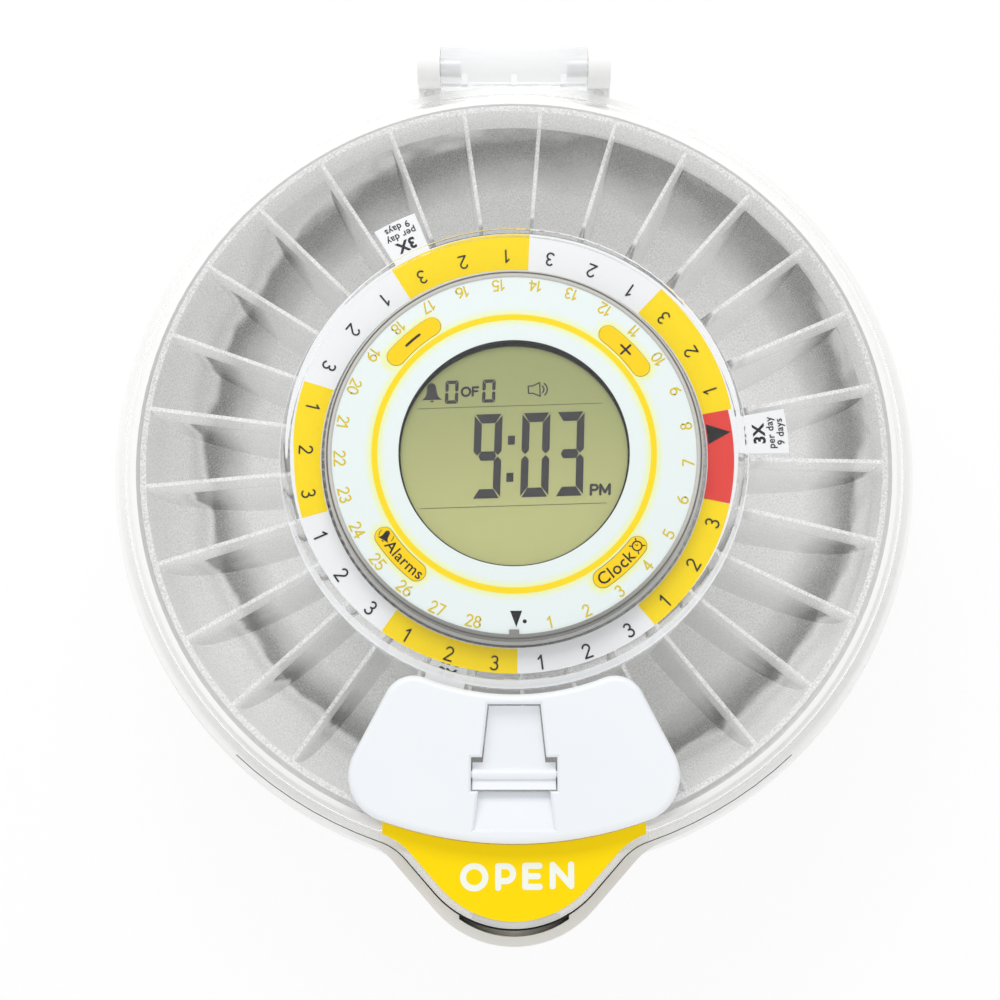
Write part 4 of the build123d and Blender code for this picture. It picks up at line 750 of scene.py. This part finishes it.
CELL_STEP = 360 / 29  # degrees from one compartment to the next
NUMBERS_R, POINTER_R = 41.4, 39.7
POINTER_ANGLE, NUMBERS_START = 270.7, 269.2
numbers = []
for n in range(1, 29):
    numbers += [bend(line, NUMBERS_R, NUMBERS_START + CELL_STEP * n) for line in pen(str(n), 2.95, 0.38)]
piece("face_numbers", numbers, FACE_TOP, pale_yellow_ink, "base")

arrow = plate([(-1.45, 1.75), (0.0, -2.0), (1.45, 1.75)])
dot = plate(circle_path(0.46, 0, 357, (1.95, -0.75))[:-1])
pointer = [bend(part, POINTER_R, POINTER_ANGLE) for part in (arrow, dot)]
piece("pointer_mark", pointer, FACE_TOP, black_ink, "base")

# %% [markdown]
# ## The display's own signs
# Seven bars make each figure, cut at a slant where they meet. The bars lean a little, and the whole display
# sits turned by 1.8 degrees in its window. A black gasket shows round the window; its widening at the back is
# painted shadow of the window's back wall.

# %% Seven-bar figures
BARS = {"0": "abcdef", "3": "abcdg", "9": "abcdfg"}
DISPLAY_TURN, DISPLAY_LEAN = 1.8, 0.062
# Half the width and height of a figure, its upright and level bars, and the slit between two bars.
LARGE, SMALL = (3.35, 10.25, 1.8, 2.25, 0.30), (1.58, 2.85, 0.80, 0.82, 0.16)
TIME_Y, COUNT_Y = -0.6, 15.37  # the rows of the time and of the small figures over it


def figure(sign, half_w, half_h, upright, level_bar, gap):
    """The bars of one figure, as outlines that run anticlockwise; gap is the slit between two bars."""
    inner = half_w - upright
    under = half_h - level_bar
    tip = level_bar / 2
    top = [(half_w - gap, half_h), (-half_w + gap, half_h)]
    top += [(-inner - gap / 2, under), (inner + gap / 2, under)]
    side = [(half_w, half_h - gap), (inner, under - gap), (inner, tip), (half_w - upright / 2, gap / 2)]
    side.append((half_w, tip))
    middle = [(inner, tip), (-inner, tip), (-inner - upright / 2 + gap, 0), (-inner, -tip), (inner, -tip)]
    middle.append((inner + upright / 2 - gap, 0))
    bars = {"a": top, "g": middle, "b": side}
    bars["f"] = [(-x, y) for x, y in reversed(side)]
    bars["c"] = [(x, -y) for x, y in reversed(side)]
    bars["e"] = [(-x, -y) for x, y in side]
    bars["d"] = [(x, -y) for x, y in reversed(top)]
    return [plate(bars[name]) for name in BARS[sign]]


def on_display(drawings, at, lean=0.0):
    """Drawings laid at a place of the display, which is turned as a whole."""
    a = np.radians(DISPLAY_TURN)
    middle = (at[0] * np.cos(a) - at[1] * np.sin(a), at[0] * np.sin(a) + at[1] * np.cos(a))
    return [lay(drawing, middle, DISPLAY_TURN, lean) for drawing in drawings]


signs = []
for sign, x in (("9", -6.4), ("0", 5.05), ("3", 13.25)):
    signs += on_display(figure(sign, *LARGE), (x, TIME_Y), DISPLAY_LEAN)
for x in (-14.5, -5.58):
    signs += on_display(figure("0", *SMALL), (x, COUNT_Y), DISPLAY_LEAN)
square = plate([(-0.84, -1.1), (0.84, -1.1), (0.84, 1.1), (-0.84, 1.1)])
for colon_dot in ((-0.54, 3.09), (-1.19, -5.92)):
    signs += on_display([square], colon_dot, DISPLAY_LEAN)
signs += on_display(pen("OF", 2.6, 0.54, 1.16), (-10.18, COUNT_Y), DISPLAY_LEAN)
signs += on_display(pen("PM", 2.9, 0.62, 1.26), (20.18, -9.54), DISPLAY_LEAN)
piece("display_figures", signs, DISPLAY_TOP, display_ink, "base")

# %% [markdown]
# The bell is an outline with a round crown, whose side swells into the rim. The loudspeaker is a few pen
# strokes with two arcs of sound.

# %% Bell, loudspeaker, lines and gasket


def bell(width, height):
    """Bell outline: from the crown, u = 0, to the rim, u = 1, the half width grows as 0.40 times the root of
    u / 0.18, held at 1, plus 0.12 u and 0.48 u ** 6. A half disc below the rim is the clapper."""
    u = np.linspace(0, 1, 14)
    reach = width / 2 * (0.40 * np.sqrt(np.minimum(u / 0.18, 1)) + 0.12 * u + 0.48 * u**6)
    y = height / 2 - u * height * 0.86
    right = np.column_stack([reach, y])
    left = np.column_stack([-reach, y])[1:]
    body = plate(np.vstack([right[::-1], left]))
    clapper = plate(circle_path(height * 0.09, 180, 360, (0, -height * 0.40)))
    return [body, clapper]


def loudspeaker():
    """Box and cone as one closed line, and two arcs."""
    box = [(-2.3, 0.9), (-1.2, 0.9), (0.5, 1.7), (0.5, -1.7), (-1.2, -0.9), (-2.3, -0.9), (-2.3, 0.9)]
    lines = [stroke([a, b], 0.30) for a, b in zip(box, box[1:])]
    waves = [stroke(circle_path(radius, -50, 50, (0.4, 0)), 0.32) for radius in (1.05, 1.85)]
    return lines + waves


symbols = on_display(bell(5.0, 4.9), (-19.3, 15.35)) + on_display(loudspeaker(), (6.2, 15.4))
piece("display_symbols", symbols, DISPLAY_TOP, display_ink, "base")

lines = []
for y in (11.53, -12.82):
    lines += on_display([stroke([(-22.1, 0), (22.1, 0)], 0.13)], (-0.57, y))
piece("display_lines", lines, DISPLAY_TOP, line_ink, "base")

GASKET_OUT, GASKET_IN, BACK_SHADOW_SWELL = 27.48, 27.1, 0.8
angle = np.radians(np.arange(0, 360, 3))
# The gasket widens at the back as painted shadow.
inner_edge = GASKET_IN - BACK_SHADOW_SWELL * np.maximum(np.sin(angle), 0) ** 2
half = (GASKET_OUT - inner_edge) / 2
middle = (GASKET_OUT + inner_edge) / 2
gasket = ribbon(np.column_stack([middle * np.cos(angle), middle * np.sin(angle)]), half, closed=True)
piece("display_gasket_and_shadow", [gasket], DISPLAY_TOP + 0.05, black_ink, "base", 0.3)

# %% [markdown]
# ## Legends on the keys
# Each key carries its sign, bent along the key: a minus, a plus, and the words for the alarms and the clock
# with a small bell and a small clock beside them. A legend rides on its own key, so it moves when the key
# is pressed.

# %% Key legends
BELL_ANGLE, CLOCK_ANGLE, SIGN_X = 222.7, 313.1, 5.55  # a small sign stands this far along from its angle
minus = [bend(stroke([(-2.05, 0), (2.05, 0)], 0.6), KEY_R, 131.7)]
piece("minus_sign", minus, KEY_TOP, black_ink, "minus_key")
plus = [stroke([(-1.55, 0), (1.55, 0)], 0.5), stroke([(0, -1.55), (0, 1.55)], 0.5)]
plus = [bend(line, KEY_R, 43.0) for line in plus]
piece("plus_sign", plus, KEY_TOP, black_ink, "plus_key")

ringing = [lay(part, (-SIGN_X, 0.3), 25) for part in bell(2.9, 3.0)]
ringing += [stroke(circle_path(1.75, a, a + 45, (-SIGN_X, 0.55)), 0.14) for a in (5, 190)]
alarms = [bend(set_type("Alarms", 2.62, 0.03), KEY_R - 0.05, 225.2)]
alarms += [bend(drawing, KEY_R, BELL_ANGLE) for drawing in ringing]
piece("alarms_legend", alarms, KEY_TOP, black_ink, "alarms_key")

clock = [bend(set_type("Clock", 2.85, 0.03), KEY_R, 310.6)]
dial = [ribbon(circle_path(1.1, 0, 350, (SIGN_X, 0)), 0.15, closed=True)]
feet = ((-1, 1), (1, 1), (-1, -1), (1, -1))
dial += [stroke([(SIGN_X + x * 0.85, y * 0.95), (SIGN_X + x * 1.2, y * 1.4)], 0.26) for x, y in feet]
dial += [stroke([(SIGN_X, 0), hand], 0.14) for hand in ((SIGN_X, 0.62), (6.0, 0.2))]
clock += [bend(drawing, KEY_R, CLOCK_ANGLE) for drawing in dial]
piece("clock_legend", clock, KEY_TOP, black_ink, "clock_key")

# %% [markdown]
# ## Print on the dose ring
# The loose ring on the carousel says how many doses belong to one day: here three. Its patches are yellow
# and white in turn, three compartments each, and a red patch with a black mark covers the empty place.

# %% Patches and doses
EDGES = [12.2, 49.2, 85.9, 123.05, 160.1, 197.1, 233.65, 270.9, 308.9, 346.8]  # between patches, in degrees
BAND_IN, BAND_OUT, DIGITS_R, MARK_R = 46.4, 52.7, 49.9, 49.0
band_r, band_half = (BAND_IN + BAND_OUT) / 2, (BAND_OUT - BAND_IN) / 2


def patch(start, end):
    """Ring sector between two angles. Its outer edge swells towards the back by 2.6 mm times the sine of the
    angle to the power 0.7."""
    middle = circle_path(1.0, start, end)
    swell = 2.6 * np.maximum(middle[:, 1], 0) ** 0.7
    return ribbon(middle * (band_r + swell / 2)[:, None], band_half + swell / 2)


yellow = [patch(a, b) for a, b in list(zip(EDGES, EDGES[1:]))[::2]]
piece("dose_yellow", yellow, DOSE_TOP, yellow_ink, "tray")
red = [ribbon(circle_path(band_r, EDGES[-1], EDGES[0] + 360), band_half)]
piece("dose_red", red, DOSE_TOP, red_ink, "tray")

digits = []
for a, b in zip(EDGES, EDGES[1:]):
    for place_of, digit in enumerate("123"):
        angle = a + (b - a) * (2 * place_of + 1) / 6
        digits += [bend(line, DIGITS_R, angle) for line in pen(digit, 3.55, 0.42)]
piece("dose_digits", digits, DOSE_TOP + FILM, black_ink, "tray")

mark = plate([(-2.6, 2.3), (0.0, -3.3), (2.6, 2.3)])
mark = bend(mark, MARK_R, 6.1)
piece("empty_mark", [mark], DOSE_TOP + FILM, black_ink, "tray")

# %% [markdown]
# Three tabs of the ring reach out over a compartment and repeat what the ring is for, in small type.

# %% Words on the tabs
TABS = [(cell + 0.5) * CELL_STEP - 1.17 for cell in (0, 9, 20)]  # the tabs' middles, in degrees
WORDS = [("3X", 2.7, 0.14, 59.0), ("per day", 1.7, 0.04, 61.8), ("9 days", 1.7, 0.04, 64.1)]
small = []
for tab in TABS:
    small += [bend(set_type(body, height, thicken), radius, tab) for body, height, thicken, radius in WORDS]
piece("tab_words", small, DOSE_TOP, black_ink, "tray")

# %% [markdown]
# ## The label
# The label at the front is yellow vinyl with the word OPEN in fat pen strokes with round ends: a closed oval
# for the O, a stem and a bowl for the P, and straight strokes for the E and the N.

# %% Letters on the label
PEN = 1.36
o_turn = np.radians(np.arange(0, 360, 6))
o_path = np.column_stack([-8.98 + 2.5 * np.cos(o_turn), -97.92 + 2.42 * np.sin(o_turn)])
letter_o = ribbon(o_path, PEN / 2, closed=True)
bowl = circle_path(1.62, 90, -90, (-1.85, -97.14))
p_loop = np.vstack([[(-3.57, -95.52)], bowl, [(-3.57, -98.76)]])
letter_p = [stroke([(-3.57, -95.52), (-3.57, -100.2)], PEN), stroke(p_loop, PEN)]
letter_e = [stroke([(2.51, -95.42), (2.51, -100.0)], PEN)]
arms = ((-95.42, 5.72), (-97.70, 5.35), (-100.0, 5.75))
letter_e += [stroke([(2.51, y), (end, y)], PEN) for y, end in arms]
letter_n = [stroke([(8.68, -95.22), (8.68, -99.86)], PEN), stroke([(12.84, -95.16), (12.84, -99.80)], PEN)]
letter_n.append(stroke([(8.68, -95.22), (12.84, -99.80)], PEN))
letters = [letter_o, *letter_p, *letter_e, *letter_n]
piece("open_letters", letters, LABEL_TOP, white_ink, "lid")

# %% [markdown]
# ## The painted reflection along the lip
# A thin black line is laid just outside the clear edge of the lid as a painted reflection: such an edge
# gathers the dark of a room into one thin line. It follows the lid's outline at the front: the circle, a
# hollow, the straight flank at 48 degrees and the round nose. It is thickest at the nose.

# %% Lip line
LID_R, LID_REACH, LID_NOSE_R, FLANK, HOLLOW_R = 95.0, 109.2, 24.05, 48.0, 14.0
LINE_OUT, LINE_END = 0.24, -48  # millimetres outside the lid, and degrees to which it runs on the right
LINE_THIN, LINE_SWELL, SWELL_X = 0.07, 0.14, 22  # half widths in millimetres, and the reach of the swell


def lid_edge(outset, end):
    """The lid's outline at the front, this far outside it, out to an angle on both sides. The hollow's middle
    lies one hollow radius outside both the circle and the flank: at r + h from the axis, and d + h along the
    flank's normal."""
    radius, nose_r, hollow_r = LID_R + outset, LID_NOSE_R + outset, HOLLOW_R - outset
    nose = np.array([0.0, LID_NOSE_R - LID_REACH])
    slope = np.radians(FLANK)
    normal, along = np.array([[np.sin(slope), -np.cos(slope)], [np.cos(slope), np.sin(slope)]])
    off = nose @ normal + nose_r + hollow_r
    hollow = off * normal - np.sqrt((radius + hollow_r) ** 2 - off**2) * along
    turn = np.degrees(np.arctan2(hollow[1], hollow[0]))
    tip = circle_path(nose_r, -90, FLANK - 90, nose)
    bay = circle_path(hollow_r, 90 + FLANK, 180 + turn, hollow)
    right = np.vstack([tip, bay, circle_path(radius, turn, end)[1:]])
    return np.vstack([right[:0:-1] * [-1, 1], right])


edge = lid_edge(LINE_OUT, LINE_END)
half_widths = LINE_THIN + LINE_SWELL * np.exp(-((edge[:, 0] / SWELL_X) ** 2))
# A black ribbon just outside the lid's edge: painted reflection.
piece("lip_reflection_line", [ribbon(edge, half_widths)], LIP_REFLECTION_Z, black_ink, "lid", 0.4)
